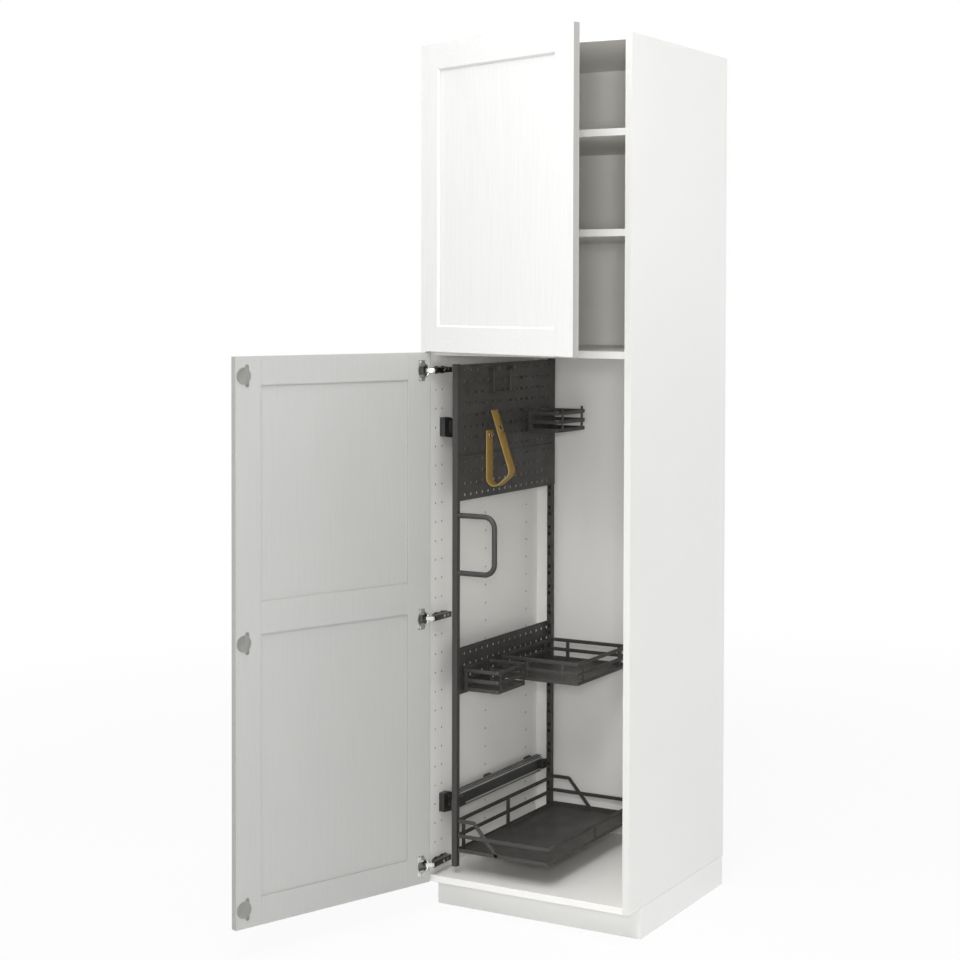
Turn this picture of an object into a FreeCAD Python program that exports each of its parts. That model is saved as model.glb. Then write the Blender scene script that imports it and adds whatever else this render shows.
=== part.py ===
import FreeCAD, Part
import math
import os
import re
import Sketcher

# Tall kitchen cabinet with two hinged doors and a pull-out cleaning rack.
# X points right, Y points back, Z points up; the origin is on the floor at mid width, on the back plane.
# Both doors hang on the left. The lower door is fully open, the upper one stands ajar, the rack is in.

vector = FreeCAD.Vector
doc = FreeCAD.newDocument("TallCabinet")
sheet = doc.addObject("Spreadsheet::Sheet", "Sizes")

# Driving dimensions in millimetres, angles in degrees
drivingSizes = {
    # carcass
    "cabinetWidth": 600, "cabinetDepth": 600, "carcassHeight": 2200, "legHeight": 80, "board": 18,
    "lowerDoorSpace": 1400, "shelfSetback": 6, "shelfSlack": 1, "seatGap": 0.2, "cutOver": 5,
    "backThick": 6, "backInset": 8, "grooveDeep": 6, "grooveSlack": 0.5, "stripWeb": 1.2, "stripFlange": 1,
    "stripHeight": 16,
    # system drilling
    "holePitch": 50, "firstHole": 49, "columnOne": 24, "columnTwo": 56, "columnFour": 520,
    "pinRadius": 2.5, "pinInBoard": 10, "pinOut": 9, "pinSlack": 0.05, "notchLong": 12,
    "upperShelfShare": 0.686, "lowerShelfShare": 0.37,
    # legs and plinth
    "legInset": 60, "legFrontInset": 120, "legBackInset": 60, "legFlange": 32, "legFlangeThick": 5,
    "legTube": 20, "legBore": 12.2, "legTubeEnd": 18, "footRadius": 26, "footThick": 6, "footStem": 12,
    "footStemTop": 60, "plinthSetback": 71, "plinthThick": 16, "plinthGap": 0.5, "plinthBackGap": 6,
    "clipWall": 3, "clipSlack": 0.2, "clipHigh": 14, "clipGrip": 6, "clipFrontLevel": 24, "clipSideLevel": 46,
    # wall brackets
    "angleLeg": 40, "angleWide": 40, "angleThick": 2, "angleInset": 40, "wallHole": 4, "wallHoleSlack": 0.6,
    "wallHoleDrop": 26,
    # doors
    "doorGap": 3, "doorThick": 19, "doorReveal": 1.5, "stile": 73, "rail": 70, "midRail": 80, "midRailDrop": 600,
    "frontRecess": 6, "panelThick": 9, "tongueDeep": 8, "tongueSlack": 0.5, "moulding": 5,
    "pivotSide": 9.5, "pivotDepth": 13.5, "lowerOpen": 110, "upperOpen": 20.75, "maxOpen": 110,
    # concealed hinges
    "cupRadius": 17.5, "cupSlack": 0.1, "cupWall": 0.9, "cupDeep": 12, "cupBore": 12.5, "cupEdge": 22.5,
    "hingeEnd": 47, "flangeRim": 2.5, "flangeThick": 1.2, "earSpread": 22.5, "earOffset": 9.5, "earRadius": 5.5,
    "linkPivotSide": 34.55, "linkPivotFront": 10.29, "linkTipSide": -20.98, "linkTipFront": -8.25,
    "linkBendSide": -16.7, "linkBendFront": -12.49, "linkHalf": 1.75, "linkKnuckle": 3.2, "linkWide": 10,
    "linkRatio": 0.24, "linkPin": 1.5, "pinClear": 0.1, "armWide": 13.8, "armWall": 1.5, "armInside": 0.4,
    "armBack": 75, "armShoulder": 2, "armWebStart": 6, "plateThick": 3, "plateFront": 10, "plateLong": 68,
    "plateWide": 16, "plateWing": 20, "wingLong": 12, "plateBlock": 12, "blockFront": 20, "blockLong": 32,
    # cover caps of the spare cup holes
    "capRadius": 20.5, "capThick": 2, "capEdge": 23, "capPlug": 17.2, "capPlugDeep": 8,
    # rack frame
    "frameLeft": 65, "postSize": 15, "postWall": 1.2, "frameFront": 32, "frameBack": 26, "rackBottomGap": 22,
    "rackTopGap": 25, "capPlugWall": 0.2, "endCap": 1.5, "endCapPlug": 8,
    "sheetThick": 1.5, "seamDrop": 240, "seamGap": 1, "sheetDrop": 360, "sheetEndGap": 0.3,
    "pegRadius": 3.5, "pegPitch": 30.67, "pegRowPitch": 30, "pegTopRow": 15, "pegFirst": 37, "pegLast": 40,
    "upperRows": 8, "lowerRows": 4,
    "stripRise": 448, "stripHigh": 125, "stripTopRow": 19, "stripFirst": 47, "stripLast": 4, "stripRows": 4,
    # pull handle
    "handleRadius": 7, "handleReach": 109, "handleDrop": 397, "handleLong": 152, "handleBend": 30,
    # trays and baskets
    "barThick": 3, "barHigh": 8, "thinBar": 2.5, "thinHigh": 8, "panThick": 1.2, "panLip": 10,
    "basketWide": 104, "basketLong": 163, "basketLead": 36, "basketDrop": 198, "basketHigh": 58,
    "binWide": 112, "binLong": 150, "binLead": 14, "binRise": 9, "binHigh": 60,
    "trayWide": 242, "trayLead": 18, "trayTail": 14, "trayRise": 14, "trayHigh": 62,
    "pinRise": 10, "hangerWide": 10, "hookSize": 2.2, "hookTail": 4, "hookDrop": 7,
    "bottomWide": 275, "bottomRise": 38.5, "bottomBar": 43.5, "bottomTop": 83.5, "diagonalStart": 52, "kneeEase": 3,
    "diagonalEnd": 122, "bottomPostShort": 26, "bottomPostMid": 302,
    # runner
    "runnerStand": 16, "runnerWide": 19, "runnerHigh": 45, "runnerRise": 160, "runnerFront": 85,
    "runnerBack": 45, "runnerSheet": 1.5, "runnerStep": 3, "runnerGlide": 2.4, "runnerRunning": 0.3,
    "domeLong": 33, "domeHigh": 44, "domeRise": 1.5, "domeEase": 4, "domeFirst": 311, "domeSecond": 81.5,
    "blockHigh": 50, "blockDeep": 41, "blockThick": 16, "blockRecess": 6, "blockRim": 8, "blockShoulder": 28, "blockSlope": 5,
    "spacerHigh": 26, "spacerLong": 20, "spacerPlate": 2,
    # top guide
    "guideDrop": 166, "guideHigh": 26, "guideThick": 1.5, "guideOut": 18, "guideLip": 5, "shoeLong": 36,
    "shoeNeck": 10, "shoeGap": 0.4, "shoePlate": 2, "shoePlateHigh": 40,
    # wire bail
    "bailRadius": 2, "bailDrop": 62, "bailStand": 4, "bailBend": 5, "bailColumn": 5, "bailColumns": 3,
    "bailInset": 8, "earThick": 3, "earHigh": 12, "earOut": 8, "bailClear": 0.1, "bailEnd": 5,
    # strap
    "strapWide": 35, "strapThick": 2.5, "strapColumn": 4.17, "strapDrop": 181, "strapLong": 180,
    "strapOut": 74, "strapElbowRise": 65, "strapTipOut": 15.5, "strapTipRise": 235, "strapBend": 22,
    "strapSplit": 0.3, "strapSplitShare": 0.66, "snapRadius": 5, "snapThick": 2, "snapInset": 14, "socketRise": 186,
}
for row, (alias, value) in enumerate(drivingSizes.items(), start=1):
    sheet.set(f"A{row}", alias)
    sheet.set(f"B{row}", str(value))
    sheet.setAlias(f"B{row}", alias)
doc.recompute()

# Places and sizes that several pieces share, worked out from the driving dimensions
shared = {
    "outerLeft": "(-cabinetWidth/2)",
    "innerLeft": "(-cabinetWidth/2 + board)",
    "innerWidth": "(cabinetWidth - 2*board)",
    "carcassTop": "(legHeight + carcassHeight)",
    "doorSplit": "(legHeight + lowerDoorSpace)",
    "backFront": "(-backInset - backThick)",
    "shelfBack": "(backFront - stripFlange - seatGap)",
    "edgeLocal": "(doorReveal - pivotSide)",
    "doorWidth": "(cabinetWidth - 2*doorReveal)",
    "faceFront": "(pivotDepth - doorGap - doorThick)",
    "faceBack": "(pivotDepth - doorGap)",
    "panelFront": "(faceFront + frontRecess)",
    "panelBack": "(faceFront + frontRecess + panelThick)",
    "lowerHigh": "(lowerDoorSpace - 2*doorReveal)",
    "upperHigh": "(carcassHeight - lowerDoorSpace - 2*doorReveal)",
    "pivotX": "(-cabinetWidth/2 + pivotSide)",
    "pivotY": "(-cabinetDepth - pivotDepth)",
    "linkX": "(-cabinetWidth/2 + linkPivotSide)",
    "linkY": "(-cabinetDepth - linkPivotFront)",
    "postLeft": "(-cabinetWidth/2 + frameLeft)",
    "postRight": "(-cabinetWidth/2 + frameLeft + postSize)",
    "frontPostY": "(-cabinetDepth + frameFront)",
    "rearPostY": "(-frameBack - postSize)",
    "postTop": "(legHeight + lowerDoorSpace - board/2 - rackTopGap)",
    "postBottom": "(legHeight + board + rackBottomGap)",
    "seam": "(postTop - seamDrop)",
    "sheetBottom": "(postTop - sheetDrop)",
    "stripBottom": "(postBottom + stripRise)",
    "stripTop": "(stripBottom + stripHigh)",
    "pegColumns": "(floor((cabinetDepth - frameFront - frameBack - pegFirst - pegLast)/pegPitch) + 1)",
    "stripColumns": "(floor((stripBack - stripFirstY - stripLast)/pegPitch) + 1)",
    "bottomFloor": "(postBottom + bottomRise)",
    "runnerAxis": "(postBottom + runnerRise)",
    "guideAxis": "(postTop - guideDrop)",
    "runnerLong": "(cabinetDepth - runnerFront - runnerBack)",
    "stripFront": "(-cabinetDepth + frameFront + postSize + sheetEndGap)",
    "stripBack": "(-frameBack - postSize - sheetEndGap)",
    "sheetFace": "(-cabinetWidth/2 + frameLeft + postSize + sheetThick)",
    "pegFirstY": "(-cabinetDepth + frameFront + pegFirst)",
    "stripFirstY": "(-cabinetDepth + frameFront + postSize + stripFirst)",
    "railLeft": "(-cabinetWidth/2 + board + runnerStand)",
    "railFront": "(-cabinetDepth + runnerFront)",
    "strapX": "(-cabinetWidth/2 + frameLeft + postSize + sheetThick + strapThick/2)",
}
aliasPattern = re.compile(r"\b[a-zA-Z]+\b")


def expression(text):
    # Writes shared places out and points every alias at the sheet
    def swap(match):
        word = match.group(0)
        if word in shared:
            return expression(shared[word])
        if word in drivingSizes:
            return "Sizes." + word
        return word
    return aliasPattern.sub(swap, text)


def number(text):
    # The present value of an expression, for shapes that are worked out here
    return float(doc.getObject("Sizes").evalExpression(expression(text).replace("Sizes.", "")))


def bindPlace(piece, corner, turn=None, axis=None):
    if axis is not None:
        piece.Placement = FreeCAD.Placement(vector(0, 0, 0), FreeCAD.Rotation(axis, 0))
    for key, text in zip("xyz", corner):
        piece.setExpression("Placement.Base." + key, expression(text))
    if turn is not None:
        piece.setExpression("Placement.Rotation.Angle", expression(turn))
    return piece


def block(name, size, corner):
    piece = doc.addObject("Part::Box", name)
    for prop, text in zip(("Length", "Width", "Height"), size):
        piece.setExpression(prop, expression(text))
    return bindPlace(piece, corner)


rodTurns = {
    "X": FreeCAD.Rotation(vector(0, 1, 0), 90),
    "Y": FreeCAD.Rotation(vector(1, 0, 0), -90),
    "Z": FreeCAD.Rotation(),
}


# Small and hidden rounds are many-sided, so that the repeated pieces stay light
roundSides = 14
smallSides = 8
slimSides = 6


def rod(name, radius, length, base, axis="Z", sides=0):
    if sides:
        piece = doc.addObject("Part::Prism", name)
        piece.Polygon = sides
        piece.setExpression("Circumradius", expression(radius))
    else:
        piece = doc.addObject("Part::Cylinder", name)
        piece.setExpression("Radius", expression(radius))
    piece.setExpression("Height", expression(length))
    piece.Placement = FreeCAD.Placement(vector(0, 0, 0), rodTurns[axis])
    return bindPlace(piece, base)


def cut(name, base, tools):
    piece = doc.addObject("Part::Cut", name)
    piece.Base = base
    piece.Tool = tools[0] if len(tools) == 1 else gather(name + "Tools", tools)
    return piece


def join(name, pieces):
    piece = doc.addObject("Part::MultiFuse", name)
    piece.Shapes = pieces
    piece.Refine = True
    return piece


def gather(name, pieces):
    piece = doc.addObject("Part::Compound", name)
    piece.Links = pieces
    return piece


finished = []


def finish(piece, label):
    piece.Label = label
    finished.append(piece)
    return piece


def newBody(name):
    return doc.addObject("PartDesign::Body", name)


def sketchOn(body, name, plane):
    sketch = body.newObject("Sketcher::SketchObject", name)
    for feature in body.Origin.OriginFeatures:
        if feature.Role == plane:
            sketch.AttachmentSupport = [(feature, "")]
    sketch.MapMode = "FlatFace"
    return sketch


def outline(body, name, plane, corners):
    # A closed outline whose corners are held at sheet distances from the origin
    sketch = sketchOn(body, name, plane)
    places = [vector(number(u), number(v), 0) for u, v in corners]
    for index, place in enumerate(places):
        sketch.addGeometry(Part.LineSegment(place, places[(index + 1) % len(places)]), False)
    for index in range(len(places)):
        sketch.addConstraint(Sketcher.Constraint("Coincident", index, 2, (index + 1) % len(places), 1))
    for index, (u, v) in enumerate(corners):
        for kind, text, value in (("DistanceX", u, places[index].x), ("DistanceY", v, places[index].y)):
            held = sketch.addConstraint(Sketcher.Constraint(kind, -1, 1, index, 1, value))
            sketch.setExpression(f"Constraints[{held}]", expression(text))
    return sketch


def pad(body, sketch, name, length, middle=False):
    feature = body.newObject("PartDesign::Pad", name)
    feature.Profile = sketch
    feature.setExpression("Length", expression(length))
    feature.Midplane = middle
    body.Tip = feature
    return feature


def profileBar(name, plane, corners, length, corner, middle=False):
    # A straight bar or board of one constant outline
    body = newBody(name)
    pad(body, outline(body, name + "Outline", plane, corners), name + "Pad", length, middle)
    return bindPlace(body, corner)


# Carcass boards, grooved for the backs
def sidePanel(label, boardX, grooveX, holeX):
    base = block(label + "Board", ("board", "cabinetDepth", "carcassHeight"),
                 (boardX, "-cabinetDepth", "legHeight"))
    tools = [block(label + "Groove", ("grooveDeep", "backThick", "carcassHeight"),
                        (grooveX, "backFront", "legHeight"))]
    for share in ("upperShelfShare", "lowerShelfShare"):
        for column in ("columnTwo", "columnFour"):
            tools.append(rod(label + "Hole", "pinRadius + pinSlack", "pinInBoard + seatGap",
                             (holeX, f"-cabinetDepth + {column}", pinLevel(share)), "X",
                             slimSides))
    return finish(cut(label + "Cut", base, tools), label)


def pinLevel(share):
    # The row of system holes nearest to that share of the upper compartment
    wanted = f"(lowerDoorSpace + (carcassHeight - lowerDoorSpace)*{share} - firstHole)"
    return f"(legHeight + firstHole + round({wanted}/holePitch)*holePitch)"


sidePanel("side_panel_left", "outerLeft", "innerLeft - grooveDeep", "innerLeft - pinInBoard - seatGap")
sidePanel("side_panel_right", "-innerLeft", "-innerLeft", "-innerLeft")


def crossPanel(label, bottom, grooveBottom):
    base = block(label + "Board", ("innerWidth", "cabinetDepth", "board"),
                 ("innerLeft", "-cabinetDepth", bottom))
    groove = block(label + "Groove", ("innerWidth", "backThick", "grooveDeep"),
                        ("innerLeft", "backFront", grooveBottom))
    return finish(cut(label + "Cut", base, [groove]), label)


crossPanel("top_panel", "carcassTop - board", "carcassTop - board")
crossPanel("bottom_panel", "legHeight", "legHeight + board - grooveDeep")
fixedShelf = block("FixedShelf", ("innerWidth", "cabinetDepth + shelfBack", "board"),
                   ("innerLeft", "-cabinetDepth", "doorSplit - board/2"))
finish(fixedShelf, "fixed_shelf")


# Loose shelves: notches under both ends hide the pins
def looseShelf(label, share):
    bottom = f"({pinLevel(share)} - pinRadius)"
    base = block(label + "Board",
                 ("innerWidth - 2*shelfSlack", "cabinetDepth - shelfSetback + shelfBack", "board"),
                 ("innerLeft + shelfSlack", "-cabinetDepth + shelfSetback", bottom))
    notches = []
    for left in ("innerLeft + shelfSlack", "-innerLeft - shelfSlack - notchLong"):
        for column in ("columnTwo", "columnFour"):
            notches.append(block(label + "Notch",
                                 ("notchLong", "2*pinRadius + 2*seatGap", "2*pinRadius + pinSlack"),
                                 (left, f"-cabinetDepth + {column} - pinRadius - seatGap", bottom)))
    return finish(cut(label + "Cut", base, notches), label)


looseShelf("shelf_upper", "upperShelfShare")
looseShelf("shelf_lower", "lowerShelfShare")
shelfPins = []
for share in ("upperShelfShare", "lowerShelfShare"):
    for column in ("columnTwo", "columnFour"):
        for left in ("innerLeft - pinInBoard", "-innerLeft - pinOut"):
            shelfPins.append(rod("ShelfPin", "pinRadius", "pinInBoard + pinOut",
                                 (left, f"-cabinetDepth + {column}", pinLevel(share)), "X", slimSides))
finish(gather("ShelfPins", shelfPins), "shelf_pins")

# Backs, held in the grooves and joined behind the fixed shelf
backWide = "innerWidth + 2*grooveDeep - 2*grooveSlack"
backLeft = "innerLeft - grooveDeep + grooveSlack"
upperBackBottom = "(doorSplit + stripWeb/2)"
upperBack = block("UpperBack",
                  (backWide, "backThick",
                   f"carcassTop - board + grooveDeep - grooveSlack - {upperBackBottom}"),
                  (backLeft, "backFront", upperBackBottom))
wallHoles = []
for side in ("innerLeft + angleInset", "-innerLeft - angleInset"):
    wallHoles.append(rod("WallHole", "wallHole + wallHoleSlack", "backThick + 2*cutOver",
                         (side, "backFront - cutOver", "carcassTop - board - wallHoleDrop"), "Y", smallSides))
finish(cut("UpperBackDrilled", upperBack, wallHoles), "back_panel_upper")
lowerBackBottom = "(legHeight + board - grooveDeep + grooveSlack)"
finish(block("LowerBack", (backWide, "backThick", f"doorSplit - stripWeb/2 - {lowerBackBottom}"),
             (backLeft, "backFront", lowerBackBottom)), "back_panel_lower")
stripSteps = (("backFront - stripFlange", "stripFlange", "stripHeight"), ("backFront", "backThick", "stripWeb"),
              ("-backInset", "stripFlange", "stripHeight"))
stripPieces = [block("StripPiece", ("innerWidth", deep, high),
                     ("innerLeft", start, f"doorSplit - {high}/2")) for start, deep, high in stripSteps]
finish(join("BackStrip", stripPieces), "back_joint_strip")

# Angles that hold the cabinet to the wall
angles = []
for side in ("innerLeft + angleInset", "-innerLeft - angleInset"):
    body = profileBar("WallAngle", "YZ_Plane", (
        ("0", "0"), ("-angleLeg", "0"), ("-angleLeg", "-angleThick"), ("-angleThick", "-angleThick"),
        ("-angleThick", "-angleLeg"), ("0", "-angleLeg")), "angleWide",
        (f"{side} - angleWide/2", "backFront", "carcassTop - board"))
    hole = rod("AngleHole", "wallHole", "2*angleThick + cutOver",
               (side, "backFront - angleThick - cutOver", "carcassTop - board - wallHoleDrop"), "Y")
    angles.append(cut("WallAngleDrilled", body, [hole]))
finish(gather("WallBrackets", angles), "wall_brackets")

# Adjustable legs
legPlaces = [(x, y) for x in ("(-cabinetWidth/2 + legInset)", "(cabinetWidth/2 - legInset)")
             for y in ("(-cabinetDepth + legFrontInset)", "(-legBackInset)")]
legs = []
feet = []
for x, y in legPlaces:
    tube = rod("LegTube", "legTube", "legHeight - legTubeEnd", (x, y, "legTubeEnd"), sides=smallSides)
    flange = rod("LegFlange", "legFlange", "legFlangeThick", (x, y, "legHeight - legFlangeThick"),
                 sides=smallSides)
    bore = rod("LegBore", "legBore", "legHeight - legTubeEnd + 2*cutOver", (x, y, "legTubeEnd - cutOver"),
               sides=smallSides)
    legs.append(cut("Leg", join("LegBlank", [tube, flange]), [bore]))
    feet.append(join("Foot", [
        rod("FootPad", "footRadius", "footThick", (x, y, "0"), sides=smallSides),
        rod("FootStem", "footStem", "footStemTop - footThick", (x, y, "footThick"), sides=smallSides)]))
finish(gather("Legs", legs), "legs")
finish(gather("Feet", feet), "feet")

# Plinth boards and the clips that hold them to the legs
plinthHigh = "legHeight - plinthGap"
plinthFront = "(-cabinetDepth + plinthSetback)"
finish(block("PlinthFront", ("cabinetWidth", "plinthThick", plinthHigh), ("outerLeft", plinthFront, "0")),
       "plinth_front")
for label, left in (("plinth_right", "-outerLeft - plinthThick"), ("plinth_left", "outerLeft")):
    finish(block(label + "Board",
                 ("plinthThick", f"-plinthBackGap - {plinthFront} - plinthThick", plinthHigh),
                 (left, f"{plinthFront} + plinthThick", "0")), label)


def plinthClip(x, y, level, size, corner):
    # A claw that grips half of the leg, standing on the back of the plinth board
    claw = block("Claw", size, corner)
    bore = rod("ClawBore", "legTube + clipSlack", "clipHigh + 2*cutOver", (x, y, level + " - cutOver"),
               sides=smallSides)
    return cut("PlinthClip", claw, [bore])


clipWide = "(2*legTube + 2*clipSlack + 2*clipWall)"
plinthClips = []
for x, y in legPlaces:
    onRight = x.startswith("(cabinetWidth")
    clipX = f"({x} - clipGrip)" if onRight else "(outerLeft + plinthThick)"
    clipLong = "(legInset - plinthThick + clipGrip)"
    plinthClips.append(plinthClip(x, y, "clipSideLevel", (clipLong, clipWide, "clipHigh"),
                                  (clipX, f"{y} - {clipWide}/2", "clipSideLevel")))
    if "legFrontInset" in y:
        frontStart = f"({plinthFront} + plinthThick)"
        plinthClips.append(plinthClip(x, y, "clipFrontLevel",
                                      (clipWide, f"{y} + clipGrip - {frontStart}", "clipHigh"),
                                      (f"{x} - {clipWide}/2", frontStart, "clipFrontLevel")))
finish(gather("PlinthClips", plinthClips), "plinth_clips")


# Framed doors, drawn about their hinge axis with the door shut
def placeOnDoor(piece, openAngle):
    return bindPlace(piece, ("pivotX", "pivotY", "0"), f"-{openAngle}", vector(0, 0, 1))


def stileOutline(outer, inner, towards):
    # Section across the stile: the moulding and the panel groove are on its inner edge
    sign = "+" if towards > 0 else "-"
    back = "-" if towards > 0 else "+"
    points = [
        (outer, "faceFront"), (f"{inner} {back} moulding", "faceFront"), (inner, "faceFront + moulding"),
        (inner, "panelFront"), (f"{inner} {back} tongueDeep", "panelFront"),
        (f"{inner} {back} tongueDeep", "panelBack"), (inner, "panelBack"), (inner, "faceBack"),
        (outer, "faceBack")]
    return points if sign == "+" else list(reversed(points))


def doorRail(name, left, right, low, high, openings):
    # Its ends are coped: they fill the stiles' moulding and stand in their grooves
    tenonFront = "(panelFront + seatGap/2)"
    tenonBack = "(panelBack - seatGap/2)"
    tenon = "(tongueDeep - tongueSlack)"
    body = profileBar(name, "XY_Plane", (
        (f"{left} - moulding", "faceFront"), (f"{right} + moulding", "faceFront"),
        (right, "faceFront + moulding"), (right, tenonFront), (f"{right} + {tenon}", tenonFront),
        (f"{right} + {tenon}", tenonBack), (right, tenonBack), (right, "faceBack"), (left, "faceBack"),
        (left, tenonBack), (f"{left} - {tenon}", tenonBack), (f"{left} - {tenon}", tenonFront),
        (left, tenonFront), (left, "faceFront + moulding")), f"{high} - {low}", ("0", "0", low))
    start = f"{left} - 2*tongueDeep"
    long = f"{right} - {left} + 4*tongueDeep"
    tools = []
    for level, inward in openings:
        tools.append(block(name + "Groove", (long, "panelThick", "tongueDeep + cutOver"),
                           (start, "panelFront",
                            f"{level} - cutOver" if inward == "+" else f"{level} - tongueDeep")))
        outward = "-" if inward == "+" else "+"
        tools.append(profileBar(name + "Moulding", "YZ_Plane", (
            ("faceFront - moulding", f"{level} {inward} 2*moulding"),
            ("faceFront + 2*moulding", f"{level} {outward} moulding"),
            ("faceFront - moulding", f"{level} {outward} moulding")), long, (start, "0", "0")))
    return cut(name + "Cut", body, tools)


def earedPlate(name, x, z, base, thick, rim, side):
    # Round plate with two screw ears beside it, lying on the door's inner face
    lug = f"{x} {side} earOffset"
    disc = rod(name + "Disc", rim, thick, (x, base, z), "Y", roundSides)
    ears = [block(name + "Bar", ("2*earRadius", thick, "2*earSpread"),
                  (f"{lug} - earRadius", base, f"{z} - earSpread"))]
    for end in ("+", "-"):
        ears.append(rod(name + "Ear", "earRadius", thick, (lug, base, f"{z} {end} earSpread"), "Y", smallSides))
    return [disc] + ears


def makeDoor(side, bottom, high, openAngle, hingeLevels, midRails):
    edge = "edgeLocal"
    far = "(edgeLocal + doorWidth)"
    stileParts = []
    for outer, inner, towards, boreX in (
            (edge, f"({edge} + stile)", 1, f"({edge} + cupEdge)"),
            (far, f"({far} - stile)", -1, f"({far} - capEdge)")):
        body = profileBar(side + "Stile", "XY_Plane", stileOutline(outer, inner, towards), high,
                          ("0", "0", bottom))
        bores = [rod(side + "Bore", "cupRadius", "cupBore + cutOver", (boreX, "faceBack - cupBore", level), "Y",
                     roundSides) for level in hingeLevels]
        stileParts.append(cut(side + "StileBored", body, bores))
    finish(placeOnDoor(gather(side + "Stiles", stileParts), openAngle), side + "_door_stiles")

    top = f"({bottom} + {high})"
    railLevels = [(bottom, f"({bottom} + rail)")]
    railLevels += [(f"({top} - {drop} - midRail)", f"({top} - {drop})") for drop in midRails]
    railLevels.append((f"({top} - rail)", top))
    railParts = []
    for low, level in railLevels:
        openings = [(low, "+")] if low != bottom else []
        openings += [(level, "-")] if level != top else []
        railParts.append(doorRail(side + "Rail", f"({edge} + stile)", f"({far} - stile)", low, level, openings))
    finish(placeOnDoor(gather(side + "Rails", railParts), openAngle), side + "_door_rails")

    panelParts = []
    for lower, upper in zip(railLevels, railLevels[1:]):
        panelParts.append(block(side + "Panel", (
            "doorWidth - 2*stile + 2*tongueDeep - 2*tongueSlack", "panelThick - seatGap",
            f"{upper[0]} - {lower[1]} + 2*tongueDeep - 2*tongueSlack"),
            (f"{edge} + stile - tongueDeep + tongueSlack", "panelFront + seatGap/2",
             f"{lower[1]} - tongueDeep + tongueSlack")))
    finish(placeOnDoor(gather(side + "Panels", panelParts), openAngle),
           side + "_door_panels" if len(panelParts) > 1 else side + "_door_panel")

    caps = []
    cups = []
    for level in hingeLevels:
        capX = f"({far} - capEdge)"
        plate = earedPlate(side + "Cap", capX, level, "faceBack", "capThick", "capRadius", "-")
        plug = rod(side + "CapPlug", "capPlug", "capPlugDeep", (capX, "faceBack - capPlugDeep", level), "Y",
                   roundSides)
        caps.append(join(side + "Cap", plate + [plug]))
        cupX = f"({edge} + cupEdge)"
        flange = earedPlate(side + "Cup", cupX, level, "faceBack", "flangeThick", "cupRadius + flangeRim", "+")
        shell = rod(side + "CupShell", "cupRadius - cupSlack", "cupDeep",
                    (cupX, "faceBack - cupDeep", level), "Y", roundSides)
        hollow = rod(side + "CupHollow", "cupRadius - cupSlack - cupWall", "cupDeep - cupWall + cutOver",
                     (cupX, "faceBack - cupDeep + cupWall", level), "Y", roundSides)
        cups.append(cut(side + "Cup", join(side + "CupBlank", flange + [shell]), [hollow]))
    finish(placeOnDoor(gather(side + "Caps", caps), openAngle), side + "_door_caps")
    finish(placeOnDoor(gather(side + "Cups", cups), openAngle), side + "_hinge_cups")


lowerBottom = "(legHeight + doorReveal)"
upperBottom = "(doorSplit + doorReveal)"
lowerLevels = [f"({lowerBottom} + hingeEnd)", f"({lowerBottom} + lowerHigh/2)",
               f"({lowerBottom} + lowerHigh - hingeEnd)"]
upperLevels = [f"({upperBottom} + hingeEnd)", f"({upperBottom} + upperHigh - hingeEnd)"]
makeDoor("lower", lowerBottom, "lowerHigh", "lowerOpen", lowerLevels, ["midRailDrop"])
makeDoor("upper", upperBottom, "upperHigh", "upperOpen", upperLevels, [])


# Hinge links: a gooseneck from the arm's nose that hooks round the cup's rim
linkStepShares = (0, 0.3, 0.5, 0.68, 0.84, 1)


def manySided(radius, sides, middle=vector(0, 0, 0)):
    corners = [middle + vector(radius * math.cos(math.tau * turn / sides),
                               radius * math.sin(math.tau * turn / sides), 0) for turn in range(sides)]
    return Part.Face(Part.makePolygon(corners + corners[:1]))


def linkShape():
    half = number("linkHalf")
    curve = Part.BezierCurve()
    curve.setPoles([vector(0, 0, 0), vector(number("linkBendSide"), number("linkBendFront"), 0),
                    vector(number("linkTipSide"), number("linkTipFront"), 0)])
    leftSide = []
    rightSide = []
    for share in linkStepShares:
        point = curve.value(share)
        along = curve.tangent(share)[0]
        across = vector(-along.y, along.x, 0) * half
        leftSide.append(point + across)
        rightSide.append(point - across)
    neck = Part.Face(Part.makePolygon(leftSide + rightSide[::-1] + leftSide[:1]))
    knuckle = manySided(number("linkKnuckle"), smallSides)
    tip = manySided(half, smallSides, curve.value(1))
    bore = manySided(number("linkPin + pinClear") / math.cos(math.pi / smallSides), smallSides)
    face = neck.fuse([knuckle, tip]).cut(bore).removeSplitter()
    wide = number("linkWide")
    shape = face.extrude(vector(0, 0, wide))
    shape.translate(vector(0, 0, -wide / 2))
    return shape


def makeLinks(side, openAngle, hingeLevels):
    link = linkShape()
    swing = number(f"-linkRatio*(maxOpen - {openAngle})")
    copies = []
    for level in hingeLevels:
        copy = link.copy()
        copy.rotate(vector(0, 0, 0), vector(0, 0, 1), swing)
        copy.translate(vector(number("linkX"), number("linkY"), number(level)))
        copies.append(copy)
    piece = doc.addObject("Part::Feature", side + "Links")
    piece.Shape = Part.makeCompound(copies)
    return finish(piece, side + "_hinge_links")


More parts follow.
